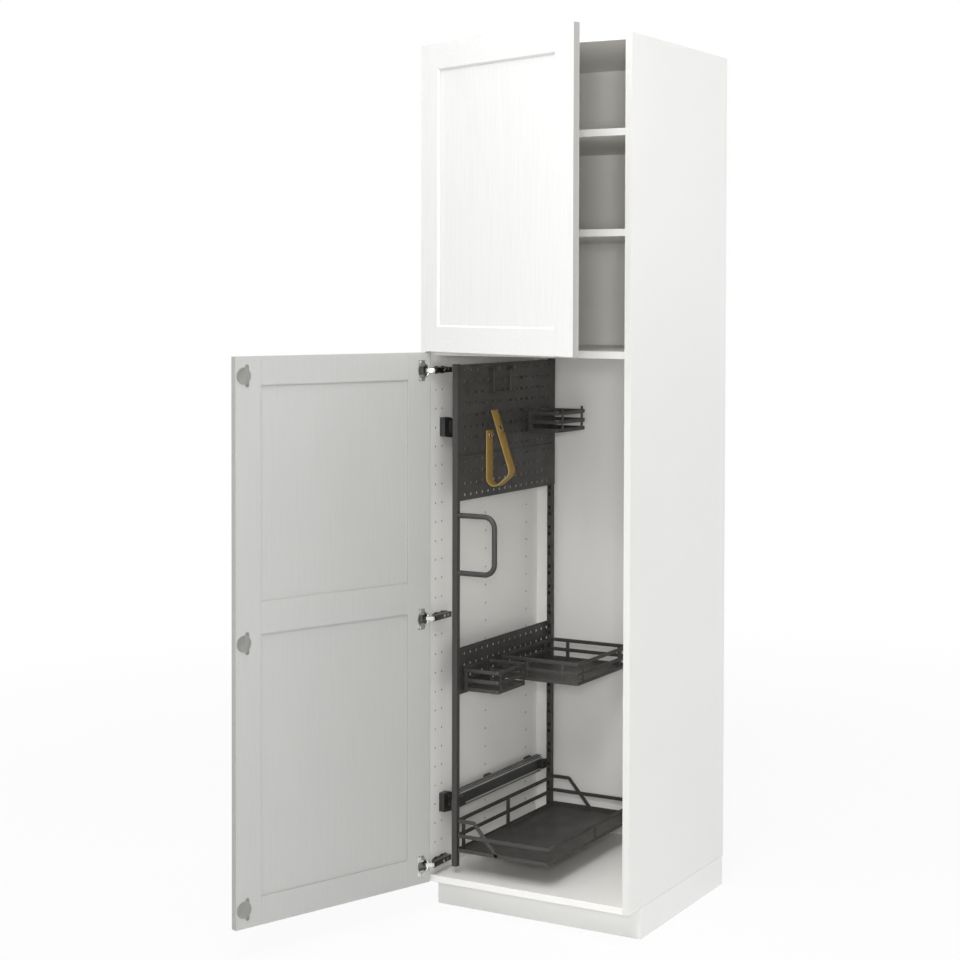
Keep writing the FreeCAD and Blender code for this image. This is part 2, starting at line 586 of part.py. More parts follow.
# Hinge arms and mounting plates on the left side panel, drawn about the link's pin
def makeArms(side, hingeLevels):
    arms = []
    plates = []
    plateTop = "(board + plateThick - linkPivotSide)"
    for level in hingeLevels:
        place = ("linkX", "linkY", level)
        cheeks = profileBar(side + "Arm", "XY_Plane", (
            ("-linkKnuckle", "0"), ("-linkKnuckle/2", "-linkKnuckle*0.866"), ("linkKnuckle/2", "-linkKnuckle*0.866"),
            ("linkKnuckle", "0"), ("linkKnuckle", "armBack + linkPivotFront"),
            (plateTop, "armBack + linkPivotFront"), (plateTop, "armShoulder + linkPivotFront"),
            ("-linkKnuckle", "armShoulder + linkPivotFront")), "armWide", place, True)
        inside = "armWide - 2*armWall"
        channel = block(side + "ArmChannel", (
            "linkKnuckle - armWall + linkPivotSide", "armBack + linkPivotFront + linkKnuckle + 2*cutOver", inside),
            ("linkX - linkPivotSide", "linkY - linkKnuckle - cutOver", f"{level} - ({inside})/2"))
        nose = block(side + "ArmNose", ("2*linkKnuckle + 2*cutOver", "armWebStart + linkKnuckle + cutOver", inside),
                     ("linkX - linkKnuckle - cutOver", "linkY - linkKnuckle - cutOver", f"{level} - ({inside})/2"))
        pin = rod(side + "ArmPin", "linkPin", "armWide", ("linkX", "linkY", f"{level} - armWide/2"),
                  sides=smallSides)
        arms.append(join(side + "ArmWhole", [cut(side + "ArmHollow", cheeks, [channel, nose]), pin]))
        plateLeft = "innerLeft"
        plateFrontY = "(-cabinetDepth + plateFront)"
        base = block(side + "Plate", ("plateThick", "plateLong", "plateWide"),
                     (plateLeft, plateFrontY, f"{level} - plateWide/2"))
        wings = [block(side + "Wing", ("plateThick", "wingLong", "plateWing"),
                       (plateLeft, f"-cabinetDepth + {column} - wingLong/2", f"{level} - plateWing/2"))
                 for column in ("columnOne", "columnTwo")]
        coreWide = "(armWide - 2*armWall - 2*armInside)"
        core = block(side + "PlateCore", ("plateThick + plateBlock", "blockLong", coreWide),
                     (plateLeft, "-cabinetDepth + blockFront", f"{level} - {coreWide}/2"))
        plates.append(join(side + "PlateWhole", [base, core] + wings))
    finish(gather(side + "Arms", arms), side + "_hinge_arms")
    finish(gather(side + "Plates", plates), side + "_hinge_plates")


for side, openAngle, levels in (("lower", "lowerOpen", lowerLevels), ("upper", "upperOpen", upperLevels)):
    makeLinks(side, openAngle, levels)
    makeArms(side, levels)


# Rack frame: two square tubes with plastic ends
def squareTube(name, left, front):
    outer = block(name + "Outside", ("postSize", "postSize", "postTop - postBottom"), (left, front, "postBottom"))
    inner = block(name + "Inside", ("postSize - 2*postWall", "postSize - 2*postWall",
                                    "postTop - postBottom + 2*cutOver"),
                  (f"{left} + postWall", f"{front} + postWall", "postBottom - cutOver"))
    return cut(name, outer, [inner])


finish(squareTube("FrontPost", "postLeft", "frontPostY"), "front_post")
finish(squareTube("RearPost", "postLeft", "rearPostY"), "rear_post")
endCaps = []
for front in ("frontPostY", "rearPostY"):
    for capBottom, plugBottom in (("postTop", "postTop - endCapPlug"), ("postBottom - endCap", "postBottom")):
        plugSize = "postSize - 2*postWall - 2*capPlugWall"
        endCaps.append(join("EndCap", [
            block("EndCapHead", ("postSize", "postSize", "endCap"), ("postLeft", front, capBottom)),
            block("EndCapPlug", (plugSize, plugSize, "endCapPlug"),
                  ("postLeft + postWall + capPlugWall", f"{front} + postWall + capPlugWall", plugBottom))]))
finish(gather("EndCaps", endCaps), "post_end_caps")


# Perforated sheets: two lie over the posts, the narrow one stands between them
def perforatedSheet(label, left, front, back, low, high, firstY, firstZ, columns, rows):
    body = newBody(label + "Sheet")
    pad(body, outline(body, label + "Outline", "YZ_Plane", (
        (front, low), (back, low), (back, high), (front, high))), label + "Pad", "sheetThick")
    corners = [(f"{firstY} + pegRadius*cos({360 / pegSides * turn})",
                f"{firstZ} + pegRadius*sin({360 / pegSides * turn})") for turn in range(pegSides)]
    holeSketch = outline(body, label + "HoleOutline", "YZ_Plane", corners)
    pocket = body.newObject("PartDesign::Pocket", label + "Hole")
    pocket.Profile = holeSketch
    pocket.Type = 1
    pocket.Midplane = True
    body.Tip = pocket
    doc.recompute()
    pattern = body.newObject("PartDesign::LinearPattern", label + "Grid")
    pattern.Originals = [pocket]
    pattern.Direction = (holeSketch, ["H_Axis"])
    pattern.setExpression("Length", expression(f"pegPitch*({columns} - 1)"))
    pattern.setExpression("Occurrences", expression(columns))
    pattern.Direction2 = (holeSketch, ["V_Axis"])
    pattern.Reversed2 = True
    pattern.setExpression("Length2", expression(f"pegRowPitch*({rows} - 1)"))
    pattern.setExpression("Occurrences2", expression(rows))
    body.Tip = pattern
    bindPlace(body, (left, "0", "0"))
    return finish(body, label)


pegSides = 4
perforatedSheet("perforated_panel_upper", "postRight", "frontPostY", "(-frameBack)", "(seam + seamGap/2)",
                "postTop", "pegFirstY", "(postTop - pegTopRow)", "pegColumns", "upperRows")
perforatedSheet("perforated_panel_lower", "postRight", "frontPostY", "(-frameBack)", "sheetBottom",
                "(seam - seamGap/2)", "pegFirstY", "(postTop - pegTopRow - upperRows*pegRowPitch)", "pegColumns",
                "lowerRows")
perforatedSheet("accessory_strip", "postLeft", "stripFront", "stripBack", "stripBottom", "stripTop",
                "stripFirstY", "(stripTop - stripTopRow)", "stripColumns", "stripRows")


# Bent rods: straight runs joined by tangent arcs
def bentPath(points, bend):
    edges = []
    start = points[0]
    for before, corner, after in zip(points, points[1:], points[2:]):
        backward = (before - corner).normalize()
        forward = (after - corner).normalize()
        half = backward.getAngle(forward) / 2
        reach = bend / math.tan(half)
        middle = (backward + forward).normalize()
        nearest = corner + middle * (bend / math.sin(half) - bend)
        edges.append(Part.LineSegment(start, corner + backward * reach).toShape())
        edges.append(Part.Arc(corner + backward * reach, nearest, corner + forward * reach).toShape())
        start = corner + forward * reach
    edges.append(Part.LineSegment(start, points[-1]).toShape())
    return Part.Wire(edges)


def bentRod(name, points, bend, radius, sides, steps):
    # The bends are short straight runs, mitred where they meet
    corners = [points[0]]
    for edge in bentPath(points, bend).Edges:
        count = 1 if edge.Curve.TypeId == "Part::GeomLine" else steps
        corners += edge.discretize(count + 1)[1:]
    profile = manySided(radius, sides).OuterWire
    facing = FreeCAD.Rotation(vector(0, 0, 1), points[1] - points[0])
    profile.Placement = FreeCAD.Placement(points[0], facing)
    piece = doc.addObject("Part::Feature", name)
    piece.Shape = Part.makePolygon(corners).makePipeShell([profile], True, True, 1)
    return piece


handleX = number("postRight")
handleY = number("frontPostY + postSize/2")
handleOut = handleX + number("handleReach")
handleTop = number("postTop - handleDrop")
handleLow = handleTop - number("handleLong")
handlePoints = [vector(handleX, handleY, handleTop), vector(handleOut, handleY, handleTop),
                vector(handleOut, handleY, handleLow), vector(handleX, handleY, handleLow)]
finish(bentRod("PullHandle", handlePoints, number("handleBend"), number("handleRadius"), roundSides, 4),
       "pull_handle")


# Trays and baskets: a lipped pan under rings of flat bar
def pan(name, left, front, low, wide, long):
    outside = block(name + "Outside", (wide, long, "panLip"), (left, front, low))
    inside = block(name + "Inside", (f"{wide} - 2*panThick", f"{long} - 2*panThick", "panLip"),
                   (f"{left} + panThick", f"{front} + panThick", f"{low} + panThick"))
    return cut(name + "Pan", outside, [inside])


def ring(name, left, front, middle, wide, long, thick, high):
    outside = block(name + "RingOutside", (wide, long, high), (left, front, f"{middle} - {high}/2"))
    inside = block(name + "RingInside", (f"{wide} - 2*{thick}", f"{long} - 2*{thick}", f"{high} + 2*cutOver"),
                   (f"{left} + {thick}", f"{front} + {thick}", f"{middle} - {high}/2 - cutOver"))
    return cut(name + "Ring", outside, [inside])


def hanger(name, left, column, low, high, hookLevel, seat):
    # A flat upright with a hook that drops behind the perforated sheet
    upright = block(name + "Upright", ("thinBar", "hangerWide", f"{high} - {low}"),
                    (left, f"{column} - hangerWide/2", low))
    throat = block(name + "Throat", (f"{left} + thinBar/2 - {seat} + hookTail", "hookSize", "hookSize"),
                   (f"{seat} - hookTail", f"{column} - hookSize/2", f"{hookLevel} - hookSize/2"))
    tail = block(name + "Tail", ("hookTail - sheetThick - seatGap", "hookSize", "hookDrop"),
                 (f"{seat} - hookTail", f"{column} - hookSize/2", f"{hookLevel} + hookSize/2 - hookDrop"))
    return [upright, throat, tail]


def basket(label, left, front, low, wide, long, high, thick, bar, pins, hangers):
    rings = [ring(label, left, front, f"({low} + {high} - {bar}/2)", wide, long, thick, bar),
             ring(label, left, front, f"({low} + {high}/2)", wide, long, thick, bar)]
    uprights = [block(label + "Pin", sides + (f"{high} + {rise}",), (x, y, low)) for x, y, sides, rise in pins]
    pieces = [pan(label, left, front, low, wide, long)] + rings + uprights + hangers
    return finish(join(label + "Whole", pieces), label)


def uprightPlaces(left, front, wide, long, thick, faceShares, rise):
    # Flat uprights in the faces of the rings, each at a share of its face's length
    right = f"({left} + {wide} - {thick})"
    back = f"({front} + {long} - {thick})"
    places = []
    for face, share in faceShares:
        if face == "right":
            places.append((right, f"({front} + {share}*({long} - barHigh))", (thick, "barHigh"), rise))
        else:
            y = front if face == "front" else back
            places.append((f"({left} + {share}*({wide} - barHigh))", y, ("barHigh", thick), rise))
    return places


def columnY(first, index):
    return f"({first} + {index}*pegPitch)"


basketLeft = "(sheetFace + seatGap)"
basketBottom = "(postTop - basketDrop)"
basketFront = f"({columnY('pegFirstY', '(pegColumns - 4)')} - basketLead)"
hookRow = "(postTop - pegTopRow - 5*pegRowPitch)"
basketHangers = []
for index in ("(pegColumns - 4)", "(pegColumns - 1)"):
    basketHangers += hanger("BasketHook", basketLeft, columnY("pegFirstY", index), basketBottom,
                            f"{basketBottom} + basketHigh", hookRow, "sheetFace")
basketShares = (("right", 0.13), ("right", 0.89), ("front", 0.04))
basket("top_basket", basketLeft, basketFront, basketBottom, "basketWide", "basketLong", "basketHigh",
       "thinBar", "thinHigh", uprightPlaces(basketLeft, basketFront, "basketWide", "basketLong", "thinBar",
                                            basketShares, "pinRise"), basketHangers)

stripFace = "(postLeft + sheetThick)"
binLeft = f"({stripFace} + seatGap)"
binFront = "(stripFirstY - binLead)"
binBottom = "(stripBottom + binRise)"
stripRow = "(stripTop - stripTopRow - 2*pegRowPitch)"
binHangers = []
for index in (0, 4):
    binHangers += hanger("BinHook", binLeft, columnY("stripFirstY", index), binBottom,
                         f"{binBottom} + binHigh", stripRow, stripFace)
binShares = (("right", 0.07), ("right", 0.95), ("front", 0.01))
basket("small_bin", binLeft, binFront, binBottom, "binWide", "binLong", "binHigh", "thinBar", "thinHigh",
       uprightPlaces(binLeft, binFront, "binWide", "binLong", "thinBar", binShares, "0"), binHangers)

trayLeft = "(postRight + seatGap)"
trayFront = f"({columnY('stripFirstY', 6)} - trayLead)"
trayBottom = "(stripBottom + trayRise)"
trayLong = f"({columnY('stripFirstY', '(stripColumns - 1)')} + trayTail - {trayFront})"
trayHangers = []
for index in (6, "(stripColumns - 2)"):
    trayHangers += hanger("TrayHook", trayLeft, columnY("stripFirstY", index), trayBottom,
                          f"{trayBottom} + trayHigh", stripRow, stripFace)
trayShares = (("front", 0.34), ("front", 0.81), ("back", 0.19), ("back", 0.9), ("right", 0.09), ("right", 0.83))
basket("side_tray", trayLeft, trayFront, trayBottom, "trayWide", trayLong, "trayHigh", "barThick",
       "barHigh", uprightPlaces(trayLeft, trayFront, "trayWide", trayLong, "barThick", trayShares, "0"),
       trayHangers)

# Bottom tray: its upper rail runs along the posts and slopes down at both ends
trayBase = "bottomFloor"
bottomLong = "(cabinetDepth - frameFront - frameBack)"
railTop = "(bottomFloor + bottomTop)"
bottomPieces = [
    pan("BottomTray", "postRight", "frontPostY", trayBase, "bottomWide", bottomLong),
    ring("BottomTray", "postRight", "frontPostY", "(bottomFloor + bottomBar)", "bottomWide", bottomLong,
         "barThick", "barHigh"),
    block("BottomTopRail", ("barThick", bottomLong, "barHigh"),
          ("postRight", "frontPostY", f"{railTop} - barHigh/2"))]
slopeRun = "(diagonalEnd - diagonalStart)"
slopeDrop = "(bottomTop - panThick)"
slopeLong = f"sqrt({slopeRun}^2 + {slopeDrop}^2)"
slopeHalf = f"(barHigh/2*{slopeLong}/{slopeDrop})"
mitre = f"(barHigh/2*({slopeLong} - {slopeRun})/{slopeDrop})"
kneeX = f"(diagonalStart + {mitre})"
railUpper = f"({railTop} + barHigh/2)"
railUnder = f"({railTop} - barHigh/2)"
for front in ("frontPostY", "(-frameBack - barThick)"):
    bottomPieces.append(profileBar("BottomSlope", "XZ_Plane", (
        ("0", railUnder), ("0", railUpper), (f"{kneeX} - kneeEase", railUpper),
        (f"{kneeX} + kneeEase*{slopeRun}/{slopeLong}", f"{railUpper} - kneeEase*{slopeDrop}/{slopeLong}"),
        (f"diagonalEnd + {slopeHalf}", "bottomFloor + panThick"),
        (f"diagonalEnd - {slopeHalf}", "bottomFloor + panThick"), (f"diagonalStart - {mitre}", railUnder)),
        "barThick", ("postRight", f"{front} + barThick", "0")))
bottomRight = "(postRight + bottomWide - barThick)"
for x, y, sides, high in (
        ("postRight", "(frontPostY + bottomPostShort)", ("barThick", "barHigh"), "bottomTop"),
        ("postRight", "(-bottomPostMid)", ("barThick", "barHigh"), "bottomTop"),
        (bottomRight, "frontPostY", ("barThick", "barThick"), "bottomBar"),
        (bottomRight, "(-bottomPostMid)", ("barThick", "barHigh"), "bottomBar"),
        (bottomRight, "(-frameBack - barThick)", ("barThick", "barThick"), "bottomBar")):
    bottomPieces.append(block("BottomUpright", sides + (high,), (x, y, trayBase)))
finish(join("BottomTrayWhole", bottomPieces), "bottom_tray")


# Runner: three nested channels with glide strips between them
def channelOutline(level, towards):
    # Section of one member: level counts inwards, towards tells which side the web is on
    inset = f"({level}*(runnerSheet + runnerStep))"
    half = f"(runnerHigh/2 - {inset})"
    near, far = (inset, "(runnerWide - runnerStep)") if towards > 0 else ("(runnerWide)", inset)
    wall = "runnerSheet"
    if towards > 0:
        return [(near, f"-{half}"), (far, f"-{half}"), (far, f"-{half} + {wall}"),
                (f"{near} + {wall}", f"-{half} + {wall}"), (f"{near} + {wall}", f"{half} - {wall}"),
                (far, f"{half} - {wall}"), (far, half), (near, half)]
    return [(far, f"-{half}"), (near, f"-{half}"), (near, half), (far, half), (far, f"{half} - {wall}"),
            (f"{near} - {wall}", f"{half} - {wall}"), (f"{near} - {wall}", f"-{half} + {wall}"),
            (far, f"-{half} + {wall}")]


def runnerMember(name, level, towards):
    # Drawn across X and Z; the member runs back from its front end
    return profileBar(name, "XZ_Plane", channelOutline(level, towards), "runnerLong",
                      ("railLeft", "railFront + runnerLong", "runnerAxis"))


finish(runnerMember("CabinetRail", 0, 1), "runner_cabinet_rail")
finish(runnerMember("MiddleRail", 1, 1), "runner_middle_rail")
finish(runnerMember("FrameRail", 2, -1), "runner_frame_rail")
glides = []
for level in (0, 1):
    for sign in (1, -1):
        outer = f"(runnerHigh/2 - {level}*(runnerSheet + runnerStep) - runnerSheet)"
        low = f"runnerAxis + {outer} - runnerRunning - runnerGlide" if sign > 0 else (
            f"runnerAxis - {outer} + runnerRunning")
        glides.append(block("Glide", ("runnerWide/2", "runnerLong", "runnerGlide"),
                            (f"railLeft + {level + 1}*(runnerSheet + runnerStep) + runnerRunning",
                             "railFront", low)))
finish(gather("Glides", glides), "runner_glides")

# Brackets between the runner and the side panel
domes = []
for middle in ("domeFirst", "domeSecond"):
    low = "(runnerAxis + runnerHigh/2 + domeRise - domeHigh)"
    top = "(runnerAxis + runnerHigh/2 + domeRise)"
    domes.append(profileBar("Dome", "YZ_Plane", (
        ("-domeLong/2", low), ("domeLong/2", low), ("domeLong/2", f"{top} - domeEase/2"),
        ("domeLong/2 - domeEase", top), ("-domeLong/2 + domeEase/2", top), ("-domeLong/2", f"{top} - domeEase/2")),
        "runnerStand", ("innerLeft", f"-{middle}", "0")))
finish(gather("Domes", domes), "runner_wall_brackets")
frontBlocks = []
for axis in ("runnerAxis", "guideAxis"):
    solid = profileBar("FrontBlock", "YZ_Plane", (
        ("0", "-blockHigh/2"), ("blockDeep", "-blockHigh/2 - blockSlope"), ("blockDeep", "blockHigh/2 - blockSlope"),
        ("blockShoulder", "blockHigh/2"), ("0", "blockHigh/2")), "blockThick",
        ("innerLeft", "railFront - blockDeep - seatGap", axis))
    recess = block("FrontBlockRecess", ("blockRecess + cutOver", "blockDeep - 2*blockRim", "blockHigh - 2*blockRim"),
                   ("innerLeft + blockThick - blockRecess", "railFront - blockDeep - seatGap + blockRim",
                    f"{axis} - blockHigh/2 + blockRim"))
    frontBlocks.append(cut("FrontBlockCut", solid, [recess]))
finish(gather("FrontBlocks", frontBlocks), "front_brackets")

# Spacers between the runner's frame member and the posts
runnerRight = "(railLeft + runnerWide)"
spacers = []
for start, plateStart, plateLong in (
        ("railFront", "frontPostY", "(railFront + spacerLong - frontPostY)"),
        ("(railFront + runnerLong - spacerLong)", "(railFront + runnerLong - spacerLong)",
         "(-frameBack - railFront - runnerLong + spacerLong)")):
    spacers.append(join("Spacer", [
        block("SpacerBlock", (f"postLeft - {runnerRight}", "spacerLong", "spacerHigh"),
              (runnerRight, start, "runnerAxis - spacerHigh/2")),
        block("SpacerPlate", ("spacerPlate", plateLong, "spacerHigh"),
              ("postLeft - spacerPlate", plateStart, "runnerAxis - spacerHigh/2"))]))
finish(gather("Spacers", spacers), "runner_frame_brackets")

# Top guide: a lipped channel on the side panel and a shoe on the rear post
guideHalf = "(guideHigh/2)"
guideRail = profileBar("GuideRail", "XZ_Plane", (
    ("0", f"-{guideHalf}"), ("guideOut", f"-{guideHalf}"), ("guideOut", f"-{guideHalf} + guideLip"),
    ("guideOut - guideThick", f"-{guideHalf} + guideLip"), ("guideOut - guideThick", f"-{guideHalf} + guideThick"),
    ("guideThick", f"-{guideHalf} + guideThick"), ("guideThick", f"{guideHalf} - guideThick"),
    ("guideOut - guideThick", f"{guideHalf} - guideThick"), ("guideOut - guideThick", f"{guideHalf} - guideLip"),
    ("guideOut", f"{guideHalf} - guideLip"), ("guideOut", guideHalf), ("0", guideHalf)),
    "runnerLong", ("innerLeft", "railFront + runnerLong", "guideAxis"))
finish(guideRail, "guide_rail")
shoeBack = "(-frameBack)"
shoeHigh = "(guideHigh - 2*guideThick - 2*shoeGap)"
shoe = join("GuideShoe", [
    block("ShoeBlock", ("guideOut - 2*guideThick - 2*shoeGap", "shoeLong", shoeHigh),
          ("innerLeft + guideThick + shoeGap", f"{shoeBack} - shoeLong", f"guideAxis - {shoeHigh}/2")),
    block("ShoeNeck", ("postLeft - innerLeft - guideThick - 2*shoeGap", "shoeLong/2", "shoeNeck"),
          ("innerLeft + guideThick + 2*shoeGap", f"{shoeBack} - shoeLong/2", "guideAxis - shoeNeck/2")),
    block("ShoePlate", ("shoePlate", "shoeLong/2", "shoePlateHigh"),
          ("postLeft - shoePlate", f"{shoeBack} - shoeLong/2", "guideAxis - shoePlateHigh/2"))])
finish(shoe, "guide_shoe")

# Wire bail that swings on two ears hooked into the top row of holes
bailTopZ = "(postTop - pegTopRow)"
bailX = "(sheetFace + bailStand)"
earPieces = []
earColumns = [f"(pegFirstY + {step}*pegPitch)" for step in ("bailColumn", "(bailColumn + bailColumns)")]
for column in earColumns:
    plate = block("BailEar", ("earOut", "earThick", "earHigh"),
                  ("sheetFace", f"{column} - earThick/2", f"{bailTopZ} - earHigh/2"))
    stub = rod("BailStub", "hookSize/2", "sheetThick + hookTail",
               ("postRight - hookTail/2", column, bailTopZ), "X", smallSides)
    hole = rod("BailEarHole", f"(bailRadius + bailClear)/cos({180 / smallSides})", "earThick + 2*cutOver",
               (bailX, f"{column} - earThick/2 - cutOver", bailTopZ), "Y", smallSides)
    earPieces.append(cut("BailEarCut", join("BailEarWhole", [plate, stub]), [hole]))
finish(gather("BailEars", earPieces), "bail_ears")
bailPoints = []
for column in earColumns:
    bailPoints.append((number(column) + number("bailEnd"), number(column) - number("bailInset")))
x = number(bailX)
top = number(bailTopZ)
low = top - number("bailDrop")
(outerA, innerA), (outerB, innerB) = bailPoints
bailRun = [vector(x, outerA, top), vector(x, innerA, top), vector(x, innerA, low), vector(x, innerB, low),
           vector(x, innerB, top), vector(x, outerB, top)]
finish(bentRod("WireBail", bailRun, number("bailBend"), number("bailRadius"), slimSides, 2), "wire_bail")


# Strap: one leg lies on the sheet, the other bends out and leans back, with a snap on each
def bentStrip(name, points, bend):
    half = number("strapThick") / 2
    width = number("strapWide")
    along = (points[1] - points[0]).normalize()
    across = vector(-along.z, 0, along.x) * half
    side = vector(0, width / 2, 0)
    start = points[0]
    corners = [start + across + side, start - across + side, start - across - side, start + across - side]
    profile = Part.makePolygon(corners + corners[:1])
    path = bentPath(points, bend) if len(points) > 2 else Part.Wire([Part.LineSegment(*points).toShape()])
    piece = doc.addObject("Part::Feature", name)
    piece.Shape = path.makePipeShell([profile], True, True)
    return piece


strapY = number("pegFirstY + strapColumn*pegPitch")
strapTop = "(postTop - strapDrop)"
strapLow = "(postTop - strapDrop - strapLong)"
strapStart = vector(number("strapX"), strapY, number(strapTop))
strapCorner = vector(number("strapX"), strapY, number(strapLow))
strapElbow = vector(number("sheetFace + strapOut"), strapY, number(f"{strapLow} + strapElbowRise"))
strapTip = vector(number("sheetFace + strapTipOut"), strapY, number(f"{strapLow} + strapTipRise"))
splitMiddle = strapCorner + (strapElbow - strapCorner) * number("strapSplitShare")
splitStep = (strapElbow - strapCorner).normalize() * (number("strapSplit") / 2)
finish(bentStrip("StrapFixed", [strapStart, strapCorner, splitMiddle - splitStep], number("strapBend")),
       "strap_fixed_leg")
finish(bentStrip("StrapFree", [splitMiddle + splitStep, strapElbow, strapTip], number("strapBend")),
       "strap_free_leg")
finish(rod("SnapStud", "snapRadius", "snapThick",
           ("strapX + strapThick/2", "pegFirstY + strapColumn*pegPitch", f"{strapTop} - snapInset"), "X", roundSides),
       "strap_snap_stud")
freeRun = (strapTip - strapElbow).normalize()
outward = vector(freeRun.z, 0, -freeRun.x)
socketShare = (number(f"{strapLow} + socketRise") - strapElbow.z) / (strapTip.z - strapElbow.z)
socketBase = strapElbow + (strapTip - strapElbow) * socketShare + outward * (number("strapThick") / 2)
socketShape = manySided(number("snapRadius"), roundSides).extrude(vector(0, 0, number("snapThick")))
socketShape.Placement = FreeCAD.Placement(socketBase, FreeCAD.Rotation(vector(0, 0, 1), outward))
socket = doc.addObject("Part::Feature", "SnapSocket")
socket.Shape = socketShape
finish(socket, "strap_snap_socket")

doc.recompute()
for item in doc.Objects:
    if "Invalid" in item.State or "Error" in item.State:
        raise RuntimeError(f"{item.Name} {item.Label}: {item.State}")
os.makedirs("parts", exist_ok=True)
for piece in finished:
    shape = piece.Shape
    if shape.isNull() or not shape.isValid():
        raise RuntimeError(f"{piece.Label} has no sound shape")
    shape.exportStep(f"parts/{piece.Label}.step")
print(f"{len(finished)} pieces written")
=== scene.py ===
import math

import bmesh
import bpy
from mathutils import Matrix, Vector


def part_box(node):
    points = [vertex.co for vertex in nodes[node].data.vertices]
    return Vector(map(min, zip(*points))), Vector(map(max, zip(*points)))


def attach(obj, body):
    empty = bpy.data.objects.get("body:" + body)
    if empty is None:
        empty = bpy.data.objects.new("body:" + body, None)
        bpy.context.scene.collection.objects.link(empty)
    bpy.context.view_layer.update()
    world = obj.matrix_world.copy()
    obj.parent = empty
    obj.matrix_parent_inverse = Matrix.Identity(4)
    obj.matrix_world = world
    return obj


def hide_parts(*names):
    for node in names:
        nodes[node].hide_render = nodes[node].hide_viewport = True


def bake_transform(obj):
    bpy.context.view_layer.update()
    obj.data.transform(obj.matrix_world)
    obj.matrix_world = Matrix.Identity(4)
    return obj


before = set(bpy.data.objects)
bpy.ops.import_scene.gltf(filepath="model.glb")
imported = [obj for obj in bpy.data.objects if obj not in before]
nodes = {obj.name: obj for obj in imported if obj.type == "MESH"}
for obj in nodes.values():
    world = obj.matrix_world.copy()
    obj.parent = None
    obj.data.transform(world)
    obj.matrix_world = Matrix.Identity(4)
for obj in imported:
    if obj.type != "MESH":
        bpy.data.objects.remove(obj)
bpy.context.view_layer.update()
print("cabinet: CAD frame loaded")

# Small helpers
# Sizes in the dictionaries are in millimetres; the camera's, the studio's and the lamps' are in metres

socketKinds = {float: "Float", int: "Int", bool: "Bool"}


def mm(*values):
    return Vector([value / 1000 for value in values])


def feed(tree, node, sockets):
    # A socket gets a value, or a link where a node is given, alone or with the name of its output
    for label, value in sockets.items():
        if isinstance(value, bpy.types.Node):
            value = (value, 0)
        if isinstance(value, tuple) and isinstance(value[0], bpy.types.Node):
            tree.links.new(value[0].outputs[value[1]], node.inputs[label])
        else:
            node.inputs[label].default_value = value


def put(tree, kind, sockets=None, **settings):
    node = tree.nodes.new(kind)
    for key, value in settings.items():
        setattr(node, key, value)
    feed(tree, node, sockets or {})
    return node


def startGroup(name, treeKind, inputs, *outputs):
    # An input is given by its first value, or by the word for its kind where it has none
    tree = bpy.data.node_groups.new(name, treeKind)
    for label, value in inputs.items():
        kind = value if isinstance(value, str) else socketKinds[type(value)]
        socket = tree.interface.new_socket(label, in_out="INPUT", socket_type="NodeSocket" + kind)
        if kind != value:
            socket.default_value = value
    made = "NodeSocketFloat" if treeKind == "ShaderNodeTree" else "NodeSocketGeometry"
    for label in outputs:
        tree.interface.new_socket(label, in_out="OUTPUT", socket_type=made)
    return tree, tree.nodes.new("NodeGroupInput"), tree.nodes.new("NodeGroupOutput")


def addObject(name, data):
    piece = bpy.data.objects.new(name, data)
    bpy.context.scene.collection.objects.link(piece)
    return piece


def settle(piece, body, slot, *replaced):
    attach(piece, body)
    if replaced:
        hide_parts(*replaced)
    return piece


def toMesh(name, shape):
    mesh = bpy.data.meshes.new(name)
    shape.to_mesh(mesh)
    shape.free()
    return mesh


def closeUp(shape):
    bmesh.ops.remove_doubles(shape, verts=shape.verts, dist=1e-6)
    bmesh.ops.recalc_face_normals(shape, faces=shape.faces)


def shapeOf(mesh):
    shape = bmesh.new()
    shape.from_mesh(mesh)
    closeUp(shape)
    return shape


def ranged(tree, source, start=0, end=1, low=0, high=1, smooth=False):
    # Spreads the values from start to end over low to high
    sockets = {"Value": source, "From Min": start, "From Max": end, "To Min": low, "To Max": high}
    return put(tree, "ShaderNodeMapRange", sockets, interpolation_type="SMOOTHSTEP" if smooth else "LINEAR")


def calculated(tree, operation, *values):
    return put(tree, "ShaderNodeMath", dict(enumerate(values)), operation=operation)


# Camera, floor and light

view = {"place": (2.3433067, -4.8318867, 1.6266152), "turn": 0.5010727, "tilt": -0.0249143, "roll": 0.0030036,
        "lens": 71.07, "sensor": 36, "shift": (-0.05598, -0.1423)}
studio = {"floorSize": 60, "floorColor": (0.86, 0.86, 0.86, 1), "floorRough": 0.9, "whiteNear": 0.92,
          "whiteFar": 1.0, "fadeFrom": 1.2, "fadeTo": 4.5, "ambient": 0.12, "lampTarget": (0, -0.4, 1.1)}
lamps = {"keyLamp": ((-2.6, -4.2, 3.4), 38, 3.2), "rearLamp": ((3.6, 3.6, 2.8), 62, 2.6),
         "besideCamera": ((2.3, -4.85, 1.75), 73, 0.7), "sideLamp": ((4.6, 2.4, 1.5), 50, 2.4),
         "frontTop": ((1.0, -3.9, 4.2), 72, 1.4), "topLamp": ((0.0, -1.6, 5.0), 92, 3.0)}


def makeCamera():
    data = bpy.data.cameras.new("photoView")
    data.sensor_width = view["sensor"]
    data.sensor_fit = "HORIZONTAL"
    data.lens = view["lens"]
    data.shift_x, data.shift_y = view["shift"]
    camera = addObject("photoView", data)
    turn = Matrix.Rotation(view["turn"], 4, "Z")
    tilt = Matrix.Rotation(math.pi / 2 + view["tilt"], 4, "X")
    roll = Matrix.Rotation(view["roll"], 4, "Z")
    camera.matrix_world = Matrix.Translation(view["place"]) @ turn @ tilt @ roll
    bpy.context.scene.camera = camera


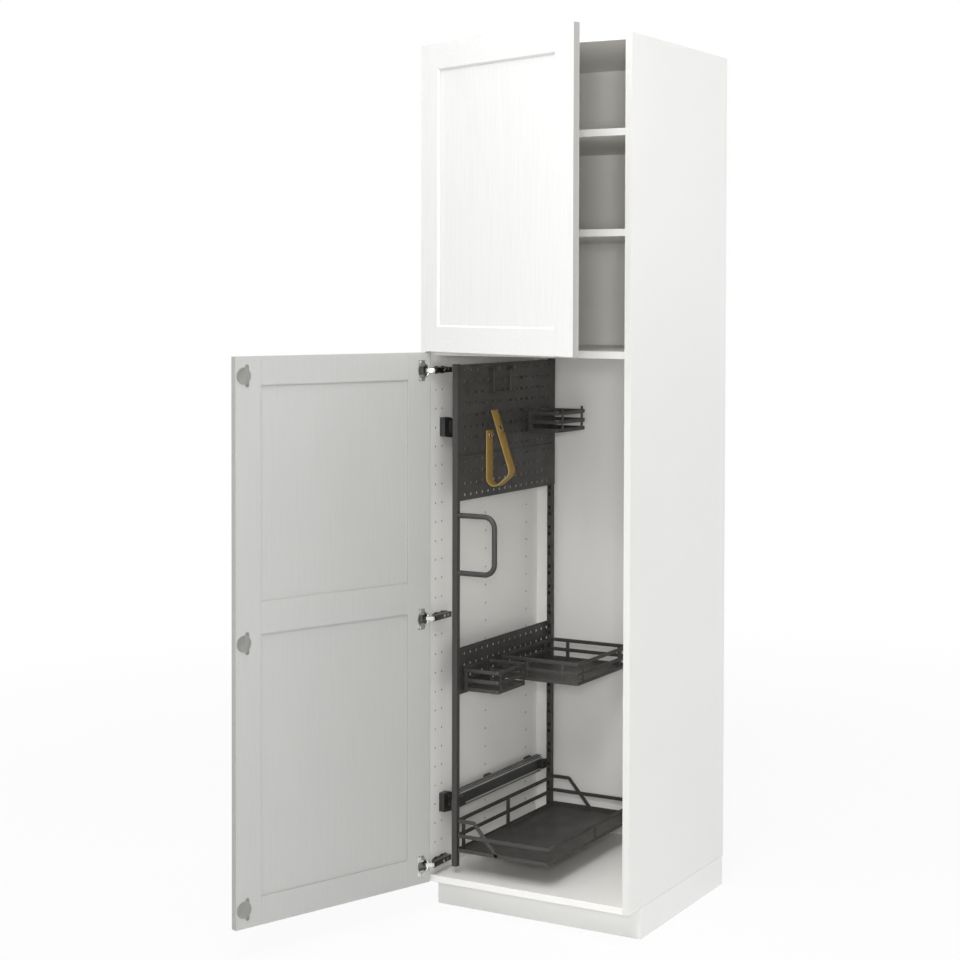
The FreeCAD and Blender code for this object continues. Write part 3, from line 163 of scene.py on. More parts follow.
def backdropRays(tree):
    # 1 for the rays that should see the plain white background
    rays = put(tree, "ShaderNodeLightPath")
    seen = calculated(tree, "MAXIMUM", (rays, "Is Camera Ray"), (rays, "Is Glossy Ray"))
    return calculated(tree, "MAXIMUM", seen, (rays, "Is Transmission Ray"))


def makeWorld():
    world = bpy.data.worlds.new("studio")
    world.use_nodes = True
    bpy.context.scene.world = world
    tree = world.node_tree
    strength = ranged(tree, backdropRays(tree), low=studio["ambient"])
    feed(tree, tree.nodes["Background"], {"Color": (1, 1, 1, 1), "Strength": strength})


def makeFloor():
    # Pale close to the cabinet, fading to the white of the background
    material = bpy.data.materials.new("paleFloor")
    material.use_nodes = True
    tree = material.node_tree
    shader = tree.nodes["Principled BSDF"]
    feed(tree, shader, {"Base Color": studio["floorColor"], "Roughness": studio["floorRough"]})
    glow = put(tree, "ShaderNodeEmission", {"Strength": 1})
    place = put(tree, "ShaderNodeTexCoord")
    distance = put(tree, "ShaderNodeVectorMath", {0: (place, "Object")}, operation="LENGTH")
    fade = ranged(tree, (distance, "Value"), studio["fadeFrom"], studio["fadeTo"], studio["whiteNear"],
                  studio["whiteFar"], True)
    share = calculated(tree, "MULTIPLY", backdropRays(tree), fade)
    mix = put(tree, "ShaderNodeMixShader", {0: share, 1: shader, 2: glow})
    feed(tree, tree.nodes["Material Output"], {"Surface": mix})
    shape = bmesh.new()
    bmesh.ops.create_grid(shape, x_segments=1, y_segments=1, size=studio["floorSize"] / 2)
    floor = addObject("studioFloor", toMesh("studioFloor", shape))
    floor.data.materials.append(material)


def makeLamp(name, place, power, size):
    data = bpy.data.lights.new(name, "AREA")
    data.energy = power
    data.shape = "SQUARE"
    data.size = size
    lamp = addObject(name, data)
    lamp.location = place
    aim = Vector(studio["lampTarget"]) - Vector(place)
    lamp.rotation_euler = aim.to_track_quat("-Z", "Y").to_euler()


bpy.context.scene.view_settings.view_transform = "Standard"
makeCamera()
makeWorld()
makeFloor()
for name, settings in lamps.items():
    makeLamp(name, *settings)
print("cabinet: camera and light set")

# Shared surface effects


def noise(tree, vector, **values):
    return put(tree, "ShaderNodeTexNoise", {"Vector": vector, **values})


def stretched(tree, vector, factors):
    return put(tree, "ShaderNodeVectorMath", {0: vector, 1: factors}, operation="MULTIPLY")


def makeBoardSkin():
    # Pressed foil: long pores along Z, a fine pebble and a broad unevenness
    tree, groupIn, groupOut = startGroup(
        "boardSkin", "ShaderNodeTree", {"Vector": "Vector", "Pore Depth": 0.5, "Pebble Depth": 0.5},
        "Height", "Pores", "Mottle")
    place = (groupIn, "Vector")
    pores = noise(tree, stretched(tree, place, (1, 1, 0.018)), Scale=420, Detail=3)
    poreRamp = ranged(tree, pores, 0.42, 0.62, smooth=True)
    pebble = noise(tree, place, Scale=1400)
    mottle = noise(tree, place, Scale=3.5, Detail=4)
    poreHeight = calculated(tree, "MULTIPLY", poreRamp, (groupIn, "Pore Depth"))
    height = calculated(tree, "MULTIPLY_ADD", pebble, (groupIn, "Pebble Depth"), poreHeight)
    feed(tree, groupOut, {"Height": height, "Pores": poreRamp, "Mottle": mottle})
    return tree


def makePowderSkin():
    # Fine textured powder coat, also used for moulded plastic
    tree, groupIn, groupOut = startGroup(
        "powderSkin", "ShaderNodeTree", {"Vector": "Vector", "Grain Scale": 900.0, "Fleck Scale": 300.0},
        "Height", "Fleck", "Mottle")
    place = (groupIn, "Vector")
    grain = noise(tree, place, Scale=(groupIn, "Grain Scale"), Detail=2)
    fleck = put(tree, "ShaderNodeTexVoronoi", {"Vector": place, "Scale": (groupIn, "Fleck Scale")},
                feature="F1")
    spots = ranged(tree, (fleck, "Distance"), 0.05, 0.35, smooth=True)
    mottle = noise(tree, place, Scale=14, Detail=3)
    feed(tree, groupOut, {"Height": grain, "Fleck": spots, "Mottle": mottle})
    return tree


def makeMetalSkin():
    # Drawn lines along Z and a few fine scratches on plated steel
    tree, groupIn, groupOut = startGroup(
        "metalSkin", "ShaderNodeTree", {"Vector": "Vector", "Line Scale": 1500.0},
        "Lines", "Scratches", "Cloud")
    place = (groupIn, "Vector")
    lines = noise(tree, stretched(tree, place, (1, 1, 0.03)), Scale=(groupIn, "Line Scale"), Detail=3)
    across = stretched(tree, place, (0.35, 1, 0.4))
    scratch = put(tree, "ShaderNodeTexVoronoi", {"Vector": across, "Scale": 160}, feature="DISTANCE_TO_EDGE")
    thin = ranged(tree, (scratch, "Distance"), 0, 0.02, 1, 0, True)
    cloud = noise(tree, place, Scale=60)
    feed(tree, groupOut, {"Lines": lines, "Scratches": thin, "Cloud": cloud})
    return tree


boardSkin = makeBoardSkin()
powderSkin = makePowderSkin()
metalSkin = makeMetalSkin()

# Materials


def startMaterial(name):
    material = bpy.data.materials.new(name)
    material.use_nodes = True
    tree = material.node_tree
    return material, tree, (put(tree, "ShaderNodeTexCoord"), "Object")


def placeGroup(tree, group, place, turn=(0, 0, 0), **values):
    mapping = put(tree, "ShaderNodeMapping", {"Vector": place, "Rotation": turn})
    sockets = {label.replace("_", " "): value for label, value in values.items()}
    return put(tree, "ShaderNodeGroup", {"Vector": mapping, **sockets}, node_tree=group)


def tintBetween(tree, factor, dark, light):
    return put(tree, "ShaderNodeMix", {"A": (*dark, 1), "B": (*light, 1), "Factor": factor}, data_type="RGBA")


def shaded(tree, tint, shade, factor):
    # Multiplies a tint by a shade as far as the factor says
    sockets = {"A": (tint, "Result"), "B": shade, "Factor": factor}
    return put(tree, "ShaderNodeMix", sockets, data_type="RGBA", blend_type="MULTIPLY")


def finishMaterial(tree, tint, unevenness, rough, height, bump, depth):
    # The tint, a roughness that follows the unevenness between two values, and the relief
    spread = ranged(tree, unevenness, 0.3, 0.7, *rough)
    relief = put(tree, "ShaderNodeBump", {"Strength": bump, "Distance": depth, "Height": height})
    feed(tree, tree.nodes["Principled BSDF"],
         {"Base Color": (tint, "Result"), "Roughness": spread, "Normal": relief})


def boardMaterial(name, dark, light, rough, pores, pebble, bump, turn=(0, 0, 0)):
    material, tree, place = startMaterial(name)
    skin = placeGroup(tree, boardSkin, place, turn, Pore_Depth=pores, Pebble_Depth=pebble)
    tint = tintBetween(tree, (skin, "Mottle"), dark, light)
    if pores:
        amount = calculated(tree, "MULTIPLY", (skin, "Pores"), min(1, pores))
        tint = shaded(tree, tint, (0.955, 0.955, 0.953, 1), amount)
    finishMaterial(tree, tint, (skin, "Mottle"), (rough - 0.05, rough + 0.05), (skin, "Height"), bump, 0.0001)
    return material


def coatMaterial(name, dark, light, rough, grainScale, fleckScale, bump):
    material, tree, place = startMaterial(name)
    skin = placeGroup(tree, powderSkin, place, Grain_Scale=grainScale, Fleck_Scale=fleckScale)
    fleck = tintBetween(tree, (skin, "Fleck"), light, dark)
    tint = shaded(tree, fleck, (0.86, 0.86, 0.87, 1), (skin, "Mottle"))
    finishMaterial(tree, tint, (skin, "Mottle"), (rough - 0.06, rough + 0.06), (skin, "Height"), bump, 0.0001)
    return material


def metalMaterial(name, dark, light, rough, bump):
    material, tree, place = startMaterial(name)
    skin = placeGroup(tree, metalSkin, place)
    cloud = tintBetween(tree, (skin, "Cloud"), dark, light)
    tint = shaded(tree, cloud, (0.8, 0.8, 0.8, 1), (skin, "Scratches"))
    tree.nodes["Principled BSDF"].inputs["Metallic"].default_value = 1
    finishMaterial(tree, tint, (skin, "Lines"), (rough - 0.07, rough + 0.07), (skin, "Lines"), bump, 0.00003)
    return material


def leatherMaterial(name, dark, light, rough, bump):
    material, tree, place = startMaterial(name)
    cells = put(tree, "ShaderNodeTexVoronoi", {"Vector": place, "Scale": 700}, feature="DISTANCE_TO_EDGE")
    crease = ranged(tree, (cells, "Distance"), 0, 0.12, smooth=True)
    cloud = noise(tree, place, Scale=45, Detail=4)
    broad = tintBetween(tree, cloud, dark, light)
    # Darker in the sunken creases of the grain: painted shade
    shade = tintBetween(tree, crease, (0.72, 0.68, 0.62), (1, 1, 1))
    tint = shaded(tree, broad, (shade, "Result"), 1)
    finishMaterial(tree, tint, cloud, (rough - 0.08, rough + 0.06), crease, bump, 0.0002)
    return material


foil = ((0.82, 0.82, 0.812), (0.86, 0.86, 0.853), 0.42, 0.9, 0.25, 0.5)
foilUpright = boardMaterial("foilUpright", *foil)
melamine = boardMaterial("melamine", (0.865, 0.862, 0.845), (0.895, 0.892, 0.875), 0.38, 0, 0.6, 0.25)
lacquer = boardMaterial("lacquer", (0.83, 0.822, 0.80), (0.86, 0.852, 0.83), 0.5, 0, 0.9, 0.3)
# A brighter, warmer copy of the board for the upper back panel; the extra brightness is painted light for the
# dim upper compartment
backSkinPaintedLight = boardMaterial("backSkinPaintedLight", (0.93, 0.92, 0.87), (0.95, 0.94, 0.89), 0.5, 0, 0.9, 0.3)
# A brighter copy of the board for the plinth: painted light against the shade under the cabinet and door
plinthSkinPaintedLight = boardMaterial("plinthSkinPaintedLight", (0.89, 0.89, 0.872), (0.92, 0.92, 0.902), 0.4, 0, 0.6, 0.25)
edgeBand = boardMaterial("edgeBand", (0.775, 0.770, 0.745), (0.80, 0.795, 0.77), 0.38, 0, 0.6, 0.25)
# Brighter, warmer copies of the board for the inner faces and the shelves; the extra brightness is painted
# light for the dim interior
innerSkinPaintedLight = boardMaterial("innerSkinPaintedLight", (0.925, 0.915, 0.885), (0.945, 0.935, 0.905), 0.38, 0, 0.6, 0.25)
shelfSkinPaintedLight = boardMaterial("shelfSkinPaintedLight", (0.90, 0.888, 0.83), (0.92, 0.908, 0.85), 0.38, 0, 0.6, 0.25)
# Darker copies of the white foil for the doors' inner faces and edges: painted shade
doorBack = boardMaterial("doorBack", (0.54, 0.54, 0.528), (0.575, 0.575, 0.562), 0.42, 0.6, 0.3, 0.4)
doorEdge = boardMaterial("doorEdge", (0.44, 0.43, 0.41), (0.47, 0.46, 0.44), 0.42, 0.6, 0.3, 0.4)
boredBoard = boardMaterial("boredBoard", (0.22, 0.18, 0.13), (0.30, 0.25, 0.19), 0.9, 0.5, 1, 1)
whiteProfile = coatMaterial("whiteProfile", (0.66, 0.66, 0.64), (0.70, 0.70, 0.68), 0.4, 700, 200, 0.15)
powderCoat = coatMaterial("powderCoat", (0.050, 0.0475, 0.0435), (0.069, 0.066, 0.061), 0.5, 1100, 420, 0.35)
darkPlastic = coatMaterial("darkPlastic", (0.030, 0.030, 0.029), (0.042, 0.042, 0.040), 0.45, 1500, 600, 0.25)
coatedSteel = coatMaterial("coatedSteel", (0.035, 0.035, 0.035), (0.05, 0.05, 0.05), 0.36, 1300, 500, 0.15)
glidePlastic = coatMaterial("glidePlastic", (0.55, 0.55, 0.52), (0.60, 0.60, 0.57), 0.35, 900, 300, 0.1)
capPlastic = coatMaterial("capPlastic", (0.30, 0.305, 0.28), (0.34, 0.345, 0.32), 0.42, 1400, 500, 0.2)
nickel = metalMaterial("nickel", (0.56, 0.56, 0.55), (0.68, 0.68, 0.66), 0.24, 0.3)
# A lighter copy of the nickel for the hinge links and the arm screws: painted highlight
highlightNickel = metalMaterial("highlightNickel", (0.68, 0.68, 0.67), (0.78, 0.78, 0.77), 0.12, 0.15)
# A dark copy of the nickel for the cup linings and the screw recesses: painted shade
recessShadeNickel = metalMaterial("recessShadeNickel", (0.16, 0.16, 0.16), (0.24, 0.24, 0.24), 0.3, 0.3)
# A dark copy of the nickel for the hinge arms and plates: painted dark reflection
armNickelDarkReflection = metalMaterial("armNickelDarkReflection", (0.10, 0.10, 0.098), (0.15, 0.15, 0.147), 0.3, 0.3)
leatherFace = leatherMaterial("leatherFace", (0.33, 0.195, 0.030), (0.44, 0.275, 0.048), 0.5, 0.5)
leatherEdge = leatherMaterial("leatherEdge", (0.50, 0.34, 0.12), (0.62, 0.44, 0.18), 0.75, 0.3)
snapDome = metalMaterial("snapDome", (0.05, 0.045, 0.04), (0.08, 0.07, 0.06), 0.3, 0.2)
snapRim = metalMaterial("snapRim", (0.52, 0.36, 0.30), (0.62, 0.44, 0.36), 0.25, 0.2)
print("cabinet: materials made")

# Geometry Nodes trees


def joined(tree, *parts):
    whole = put(tree, "GeometryNodeJoinGeometry")
    for part in parts:
        feed(tree, whole, {0: part})
    return whole


def rectangle(tree, wide, high):
    return put(tree, "GeometryNodeCurvePrimitiveQuadrilateral", {"Width": wide, "Height": high})


def makeDrilledTree():
    # A flat sheet with a hole at each input point: blind bores in a board or holes right through a sheet
    tree, groupIn, groupOut = startGroup(
        "drilledSheet", "GeometryNodeTree",
        {"Hole Centres": "Geometry", "Width": 0.1, "Height": 0.1, "Depth": 0.01, "Through": True,
         "Slot": False, "Hole Radius": 0.0025, "Hole Segments": 16, "Slot Width": 0.01, "Slot Height": 0.01,
         "Sheet Material": "Material", "Bore Material": "Material"}, "Sheet")

    def switched(label, choices):
        return put(tree, "GeometryNodeSwitch", {"Switch": (groupIn, label), **choices}, input_type="GEOMETRY")

    def coated(part, label):
        return put(tree, "GeometryNodeSetMaterial", {0: part, "Material": (groupIn, label)})

    edge = rectangle(tree, (groupIn, "Width"), (groupIn, "Height"))
    circle = put(tree, "GeometryNodeCurvePrimitiveCircle",
                 {"Resolution": (groupIn, "Hole Segments"), "Radius": (groupIn, "Hole Radius")})
    slot = rectangle(tree, (groupIn, "Slot Width"), (groupIn, "Slot Height"))
    hole = switched("Slot", {"False": circle, "True": slot})
    spread = put(tree, "GeometryNodeInstanceOnPoints",
                 {"Points": (groupIn, "Hole Centres"), "Instance": hole})
    holes = put(tree, "GeometryNodeRealizeInstances", {0: spread})
    face = put(tree, "GeometryNodeFillCurve", {"Curve": joined(tree, holes, edge)})
    down = put(tree, "ShaderNodeCombineXYZ", {"Z": calculated(tree, "MULTIPLY", (groupIn, "Depth"), -1)})

    def wallOf(source):
        lines = put(tree, "GeometryNodeCurveToMesh", {"Curve": source})
        return put(tree, "GeometryNodeExtrudeMesh", {"Mesh": lines, "Offset": down, "Offset Scale": 1},
                   mode="EDGES")

    def sunk(source):
        return put(tree, "GeometryNodeTransform", {"Geometry": source, "Translation": down})

    boreFloors = sunk(put(tree, "GeometryNodeFillCurve", {"Curve": holes}))
    backFace = put(tree, "GeometryNodeFlipFaces", {0: sunk(face)})
    closing = switched("Through", {"True": joined(tree, backFace, wallOf(edge))})
    sheet = coated(joined(tree, closing, face), "Sheet Material")
    bores = coated(joined(tree, switched("Through", {"False": boreFloors}), wallOf(holes)), "Bore Material")
    merged = put(tree, "GeometryNodeMergeByDistance", {0: joined(tree, bores, sheet), "Distance": 1e-5})
    feed(tree, groupOut, {"Sheet": merged})
    return tree


def rounded(tree, curve, radius, count):
    fillet = put(tree, "GeometryNodeFilletCurve")
    if hasattr(fillet, "mode"):
        fillet.mode = "POLY"
    feed(tree, fillet, {"Curve": curve, "Radius": radius, "Count": count})
    return fillet


def bentLine(tree, groupIn):
    line = put(tree, "GeometryNodeMeshToCurve", {"Mesh": (groupIn, "Line")})
    return rounded(tree, line, (groupIn, "Bend"), (groupIn, "Bend Steps"))


def endBar(tree, groupIn, groupOut, path, section):
    bar = put(tree, "GeometryNodeCurveToMesh", {"Curve": path, "Profile Curve": section, "Fill Caps": True})
    whole = put(tree, "GeometryNodeRealizeInstances", {0: bar})
    skin = put(tree, "GeometryNodeSetMaterial", {0: whole, "Material": (groupIn, "Bar Material")})
    feed(tree, groupOut, {"Bar": skin})
    return tree


def makeRodTree():
    # A round bar along the input line, with its corners rounded
    tree, groupIn, groupOut = startGroup(
        "bentRod", "GeometryNodeTree", {"Line": "Geometry", "Radius": 0.005, "Bend": 0.02, "Bend Steps": 12,
                                        "Sides": 24, "Bar Material": "Material"}, "Bar")
    section = put(tree, "GeometryNodeCurvePrimitiveCircle",
                  {"Resolution": (groupIn, "Sides"), "Radius": (groupIn, "Radius")})
    return endBar(tree, groupIn, groupOut, bentLine(tree, groupIn), section)


def makeFlatTree():
    # A flat bar on edge along the input line, with its corners rounded
    tree, groupIn, groupOut = startGroup(
        "bentFlat", "GeometryNodeTree",
        {"Line": "Geometry", "Thickness": 0.003, "Height": 0.008, "Bend": 0.007, "Bend Steps": 6,
         "Edge Radius": 0.0005, "Bar Material": "Material"}, "Bar")
    standing = put(tree, "GeometryNodeSetCurveNormal", {"Curve": bentLine(tree, groupIn)}, mode="Z_UP")
    section = rectangle(tree, (groupIn, "Thickness"), (groupIn, "Height"))
    return endBar(tree, groupIn, groupOut, standing, rounded(tree, section, (groupIn, "Edge Radius"), 2))


def makeScatterTree():
    # One shape at each input point, turned so that its axis follows the point's "facing"
    tree, groupIn, groupOut = startGroup(
        "setOnPoints", "GeometryNodeTree", {"Places": "Geometry", "Shape": "Object", "Turn Seed": 7}, "Set")
    facing = put(tree, "GeometryNodeInputNamedAttribute", {"Name": "facing"}, data_type="FLOAT_VECTOR")
    aim = put(tree, "FunctionNodeAlignEulerToVector", {"Vector": (facing, "Attribute")}, axis="Z")
    spin = put(tree, "FunctionNodeRandomValue", {3: 3.1, "Seed": (groupIn, "Turn Seed")}, data_type="FLOAT")
    turn = put(tree, "ShaderNodeCombineXYZ", {"Z": (spin, 1)})
    both = put(tree, "FunctionNodeRotateEuler", {"Rotation": aim, "Rotate By": turn}, rotation_type="EULER",
               space="LOCAL")
    shape = put(tree, "GeometryNodeObjectInfo", {"Object": (groupIn, "Shape")})
    spread = put(tree, "GeometryNodeInstanceOnPoints",
                 {"Points": (groupIn, "Places"), "Instance": (shape, "Geometry"), "Rotation": both})
    feed(tree, groupOut, {"Set": put(tree, "GeometryNodeRealizeInstances", {0: spread})})
    return tree


drilledTree = makeDrilledTree()
rodTree = makeRodTree()
flatTree = makeFlatTree()
scatterTree = makeScatterTree()


def grow(name, mesh, tree, **values):
    # Runs a tree on a mesh and keeps the result as a plain mesh
    piece = addObject(name, mesh)
    modifier = piece.modifiers.new(tree.name, "NODES")
    modifier.node_group = tree
    for item in tree.interface.items_tree:
        label = item.name.replace(" ", "_")
        if item.item_type == "SOCKET" and item.in_out == "INPUT" and label in values:
            modifier[item.identifier] = values[label]
    evaluated = piece.evaluated_get(bpy.context.evaluated_depsgraph_get())
    grown = bpy.data.meshes.new_from_object(evaluated)
    grown.name = name
    for index in range(len(grown.materials) - 1, -1, -1):
        if grown.materials[index] is None:
            grown.materials.pop(index=index)
    bpy.data.objects.remove(piece)
    return grown


def pointMesh(points, facings=None):
    mesh = bpy.data.meshes.new("points")
    mesh.from_pydata([tuple(point) for point in points], [], [])
    if facings:
        attribute = mesh.attributes.new("facing", "FLOAT_VECTOR", "POINT")
        for item, value in zip(attribute.data, facings):
            item.vector = value
    return mesh


def lineMesh(points, closed=False):
    mesh = bpy.data.meshes.new("line")
    edges = [(k, k + 1) for k in range(len(points) - 1)]
    if closed:
        edges.append((len(points) - 1, 0))
    mesh.from_pydata([tuple(point) for point in points], edges, [])
    return mesh


print("cabinet: trees made")

# Shapes made in mesh code


def roundedBox(low, high, radius, segments=2):
    shape = bmesh.new()
    bmesh.ops.create_cube(shape, size=1)
    bmesh.ops.scale(shape, vec=high - low, verts=shape.verts)
    bmesh.ops.translate(shape, vec=(low + high) / 2, verts=shape.verts)
    if radius:
        bmesh.ops.bevel(shape, geom=shape.edges[:], offset=radius / 1000, segments=segments, profile=0.5,
                        affect="EDGES")
    return shape


def extruded(corners, low, high, radius=0):
    # A flat outline in XY raised from low to high along Z
    shape = bmesh.new()
    bottom = [shape.verts.new(mm(x, y, low)) for x, y in corners]
    top = [shape.verts.new(mm(x, y, high)) for x, y in corners]
    shape.faces.new(bottom[::-1])
    shape.faces.new(top)
    for k in range(len(corners)):
        after = (k + 1) % len(corners)
        shape.faces.new((bottom[k], bottom[after], top[after], top[k]))
    bmesh.ops.recalc_face_normals(shape, faces=shape.faces)
    if radius:
        sharp = [edge for edge in shape.edges if edge.calc_face_angle(0) > 0.6]
        bmesh.ops.bevel(shape, geom=sharp, offset=radius / 1000, segments=2, profile=0.5, affect="EDGES")
    return shape


def smoothen(shape, angle=0.7):
    for face in shape.faces:
        face.smooth = True
    for edge in shape.edges:
        if edge.calc_face_angle(0) > angle:
            edge.smooth = False


def turned(profile, sides):
    # A profile of radius and height pairs turned about Z, closed where it meets the axis
    shape = bmesh.new()
    turns = [2 * math.pi * k / sides for k in range(sides)]
    rings = [[shape.verts.new(mm(radius * math.cos(turn), radius * math.sin(turn), height))
              for turn in (turns if radius else [0])] for radius, height in profile]
    for ring, following in zip(rings, rings[1:]):
        for k in range(sides):
            after = (k + 1) % sides
            corners = [ring[k % len(ring)], ring[after % len(ring)], following[after % len(following)],
                       following[k % len(following)]]
            corners = list(dict.fromkeys(corners))
            if len(corners) > 2:
                shape.faces.new(corners)
    bmesh.ops.recalc_face_normals(shape, faces=shape.faces)
    smoothen(shape)
    return shape


def merge(target, shape, matrix=None, materialIndex=0):
    # Adds one shape to another, with its own material
    if matrix is not None:
        bmesh.ops.transform(shape, matrix=matrix, verts=shape.verts)
    for face in shape.faces:
        face.material_index = materialIndex
    mesh = toMesh("part", shape)
    target.from_mesh(mesh)
    bpy.data.meshes.remove(mesh)


def frameOf(place, across, up):
    # A frame whose Z is "up", its X as near to "across" as that allows
    zAxis = Vector(up).normalized()
    xAxis = Vector(across)
    xAxis = (xAxis - xAxis.dot(zAxis) * zAxis).normalized()
    matrix = Matrix((xAxis, zAxis.cross(xAxis), zAxis)).transposed().to_4x4()
    matrix.translation = Vector(place)
    return matrix


def finishPiece(name, shape, materials, body, slot, *replaced):
    piece = addObject(name, toMesh(name, shape))
    for material in materials:
        piece.data.materials.append(material)
    return settle(piece, body, slot, *replaced)


def dressNode(label, material, bevel, segments=2, angle=50):
    # The CAD piece itself with eased edges and its finish
    piece = nodes[label]
    weld = piece.modifiers.new("weld", "WELD")
    weld.merge_threshold = 0.00001
    flat = piece.modifiers.new("joinedFlats", "DECIMATE")
    flat.decimate_type = "DISSOLVE"
    flat.angle_limit = 0.01
    flat.delimit = {"MATERIAL"}
    eased = piece.modifiers.new("easedEdges", "BEVEL")
    eased.width = bevel / 1000
    eased.segments = segments
    eased.limit_method = "ANGLE"
    eased.angle_limit = math.radians(angle)
    eased.use_clamp_overlap = True
    eased.miter_outer = "MITER_ARC"
    eased.harden_normals = True
    piece.data.materials.clear()
    piece.data.materials.append(material)
    return piece


def roundedLoop(x, y, wide, long, radius, steps=6):
    # Corner points of a rounded rectangle, counted anticlockwise
    loop = []
    right, top = x + wide - radius, y + long - radius
    left, bottom = x + radius, y + radius
    for k, (cornerX, cornerY) in enumerate(((right, top), (left, top), (left, bottom), (right, bottom))):
        for step in range(steps + 1):
            angle = math.pi / 2 * (k + step / steps)
            loop.append((cornerX + radius * math.cos(angle), cornerY + radius * math.sin(angle)))
    return loop


# Carcass

carcass = {"easedEdge": 0.5, "boreDepth": 12, "boreRadius": 2.5, "boreSegments": 16, "pitch": 50,
           "firstRow": 129, "lastRow": 2229, "columns": (-576, -544, -312, -80), "extraBore": (-31, 155)}
shelfPin = {"face": -282, "levels": (1774, 2024), "columns": (-544, -80), "sides": 20,
            "profile": ((0, -10), (2.2, -10), (2.5, -9.5), (2.5, 0), (3.6, 0), (3.8, 0.4), (3.4, 0.8),
                        (2.5, 0.9), (2.5, 8.6), (2.2, 9), (0, 9))}
leg = {"places": ((-240, -480), (-240, -60), (240, -480), (240, -60)), "sides": 40, "ribs": 8, "ribHalf": 0.9,
       "rib": ((19.3, 45), (30.5, 74.8), (19.3, 74.8)),
       "tube": ((12.2, 18), (19, 18), (20, 19), (19.5, 70), (22, 74.5), (31.5, 75), (32, 75.5), (32, 80),
                (0, 80), (0, 62), (12.2, 62), (12.2, 18)),
       "foot": ((0, 0), (25.5, 0), (26, 0.6), (26, 3.5), (24.5, 5.5), (16.5, 6), (15, 9), (12, 9.5),
                (12, 59.6), (11.5, 60), (0, 60))}


def isFront(face):
    return face.normal.y < -0.5


def makeSidePanel(label, side):
    low, high = [Vector(corner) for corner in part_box(label)]
    inner = (high if side > 0 else low).x
    radius = carcass["easedEdge"]
    middle = Vector((inner, (low.y + high.y) / 2, (low.z + high.z) / 2))
    rows = range(carcass["firstRow"], carcass["lastRow"] + 1, carcass["pitch"])
    places = [(column, row) for row in rows for column in carcass["columns"]]
    if side > 0:
        places.append(carcass["extraBore"])
    centres = [Vector((side * (y / 1000 - middle.y), z / 1000 - middle.z, 0)) for y, z in places]
    drilled = grow(label + "Face", pointMesh(centres), drilledTree, Width=high.y - low.y - 2 * radius / 1000,
                   Height=high.z - low.z - 2 * radius / 1000, Depth=carcass["boreDepth"] / 1000,
                   Through=False, Hole_Radius=carcass["boreRadius"] / 1000,
                   Hole_Segments=carcass["boreSegments"], Sheet_Material=innerSkinPaintedLight, Bore_Material=boredBoard)
    drilled.transform(frameOf(middle, (0, side, 0), (side, 0, 0)))
    shape = roundedBox(low, high, radius)
    undrilled = [face for face in shape.faces
                 if abs(face.normal.x - side) < 1e-4 and abs(face.calc_center_median().x - inner) < 1e-6]
    bmesh.ops.delete(shape, geom=undrilled, context="FACES")
    materials = [*drilled.materials, melamine, edgeBand]
    for face in shape.faces:
        face.material_index = len(materials) - (1 if isFront(face) else 2)
    shape.from_mesh(drilled)
    closeUp(shape)
    finishPiece(label + "Drilled", shape, materials, "cabinet", "white_board", label)


def dressShelf(label):
    shelf = dressNode(label, shelfSkinPaintedLight, carcass["easedEdge"])
    shelf.data.materials.append(edgeBand)
    for face in shelf.data.polygons:
        face.material_index = 1 if isFront(face) else 0


def makeShelfPins():
    shape = bmesh.new()
    for z in shelfPin["levels"]:
        for y in shelfPin["columns"]:
            for side in (1, -1):
                merge(shape, turned(shelfPin["profile"], shelfPin["sides"]),
                      frameOf(mm(shelfPin["face"] * side, y, z), (0, 1, 0), (side, 0, 0)))
    finishPiece("shelfPins", shape, [nickel], "cabinet", "nickel_steel", "shelf_pins")


def makeLegs():
    legShape = bmesh.new()
    footShape = bmesh.new()
    for x, y in leg["places"]:
        place = Matrix.Translation(mm(x, y, 0))
        merge(legShape, turned(leg["tube"], leg["sides"]), place)
        for k in range(leg["ribs"]):
            spin = Matrix.Rotation(2 * math.pi * k / leg["ribs"], 4, "Z")
            merge(legShape, extruded(leg["rib"], -leg["ribHalf"], leg["ribHalf"]),
                  place @ spin @ frameOf((0, 0, 0), (1, 0, 0), (0, -1, 0)))
        merge(footShape, turned(leg["foot"], leg["sides"]), place)
    finishPiece("legTubes", legShape, [darkPlastic], "cabinet", "dark_plastic", "legs")
    finishPiece("footPads", footShape, [darkPlastic], "cabinet", "dark_plastic", "feet")


makeSidePanel("side_panel_left", 1)
makeSidePanel("side_panel_right", -1)
for label in ("top_panel", "bottom_panel"):
    dressNode(label, innerSkinPaintedLight, 0.5)
for label in ("fixed_shelf", "shelf_upper", "shelf_lower"):
    dressShelf(label)
dressNode("back_panel_upper", backSkinPaintedLight, 0.3)
dressNode("back_panel_lower", lacquer, 0.3)
dressNode("back_joint_strip", whiteProfile, 0.2)
for label in ("plinth_front", "plinth_right", "plinth_left"):
    dressNode(label, plinthSkinPaintedLight, 0.5)
dressNode("plinth_clips", darkPlastic, 0.4)
dressNode("wall_brackets", nickel, 0.4)
makeShelfPins()
makeLegs()
print("cabinet: carcass made")

# Doors and concealed hinges

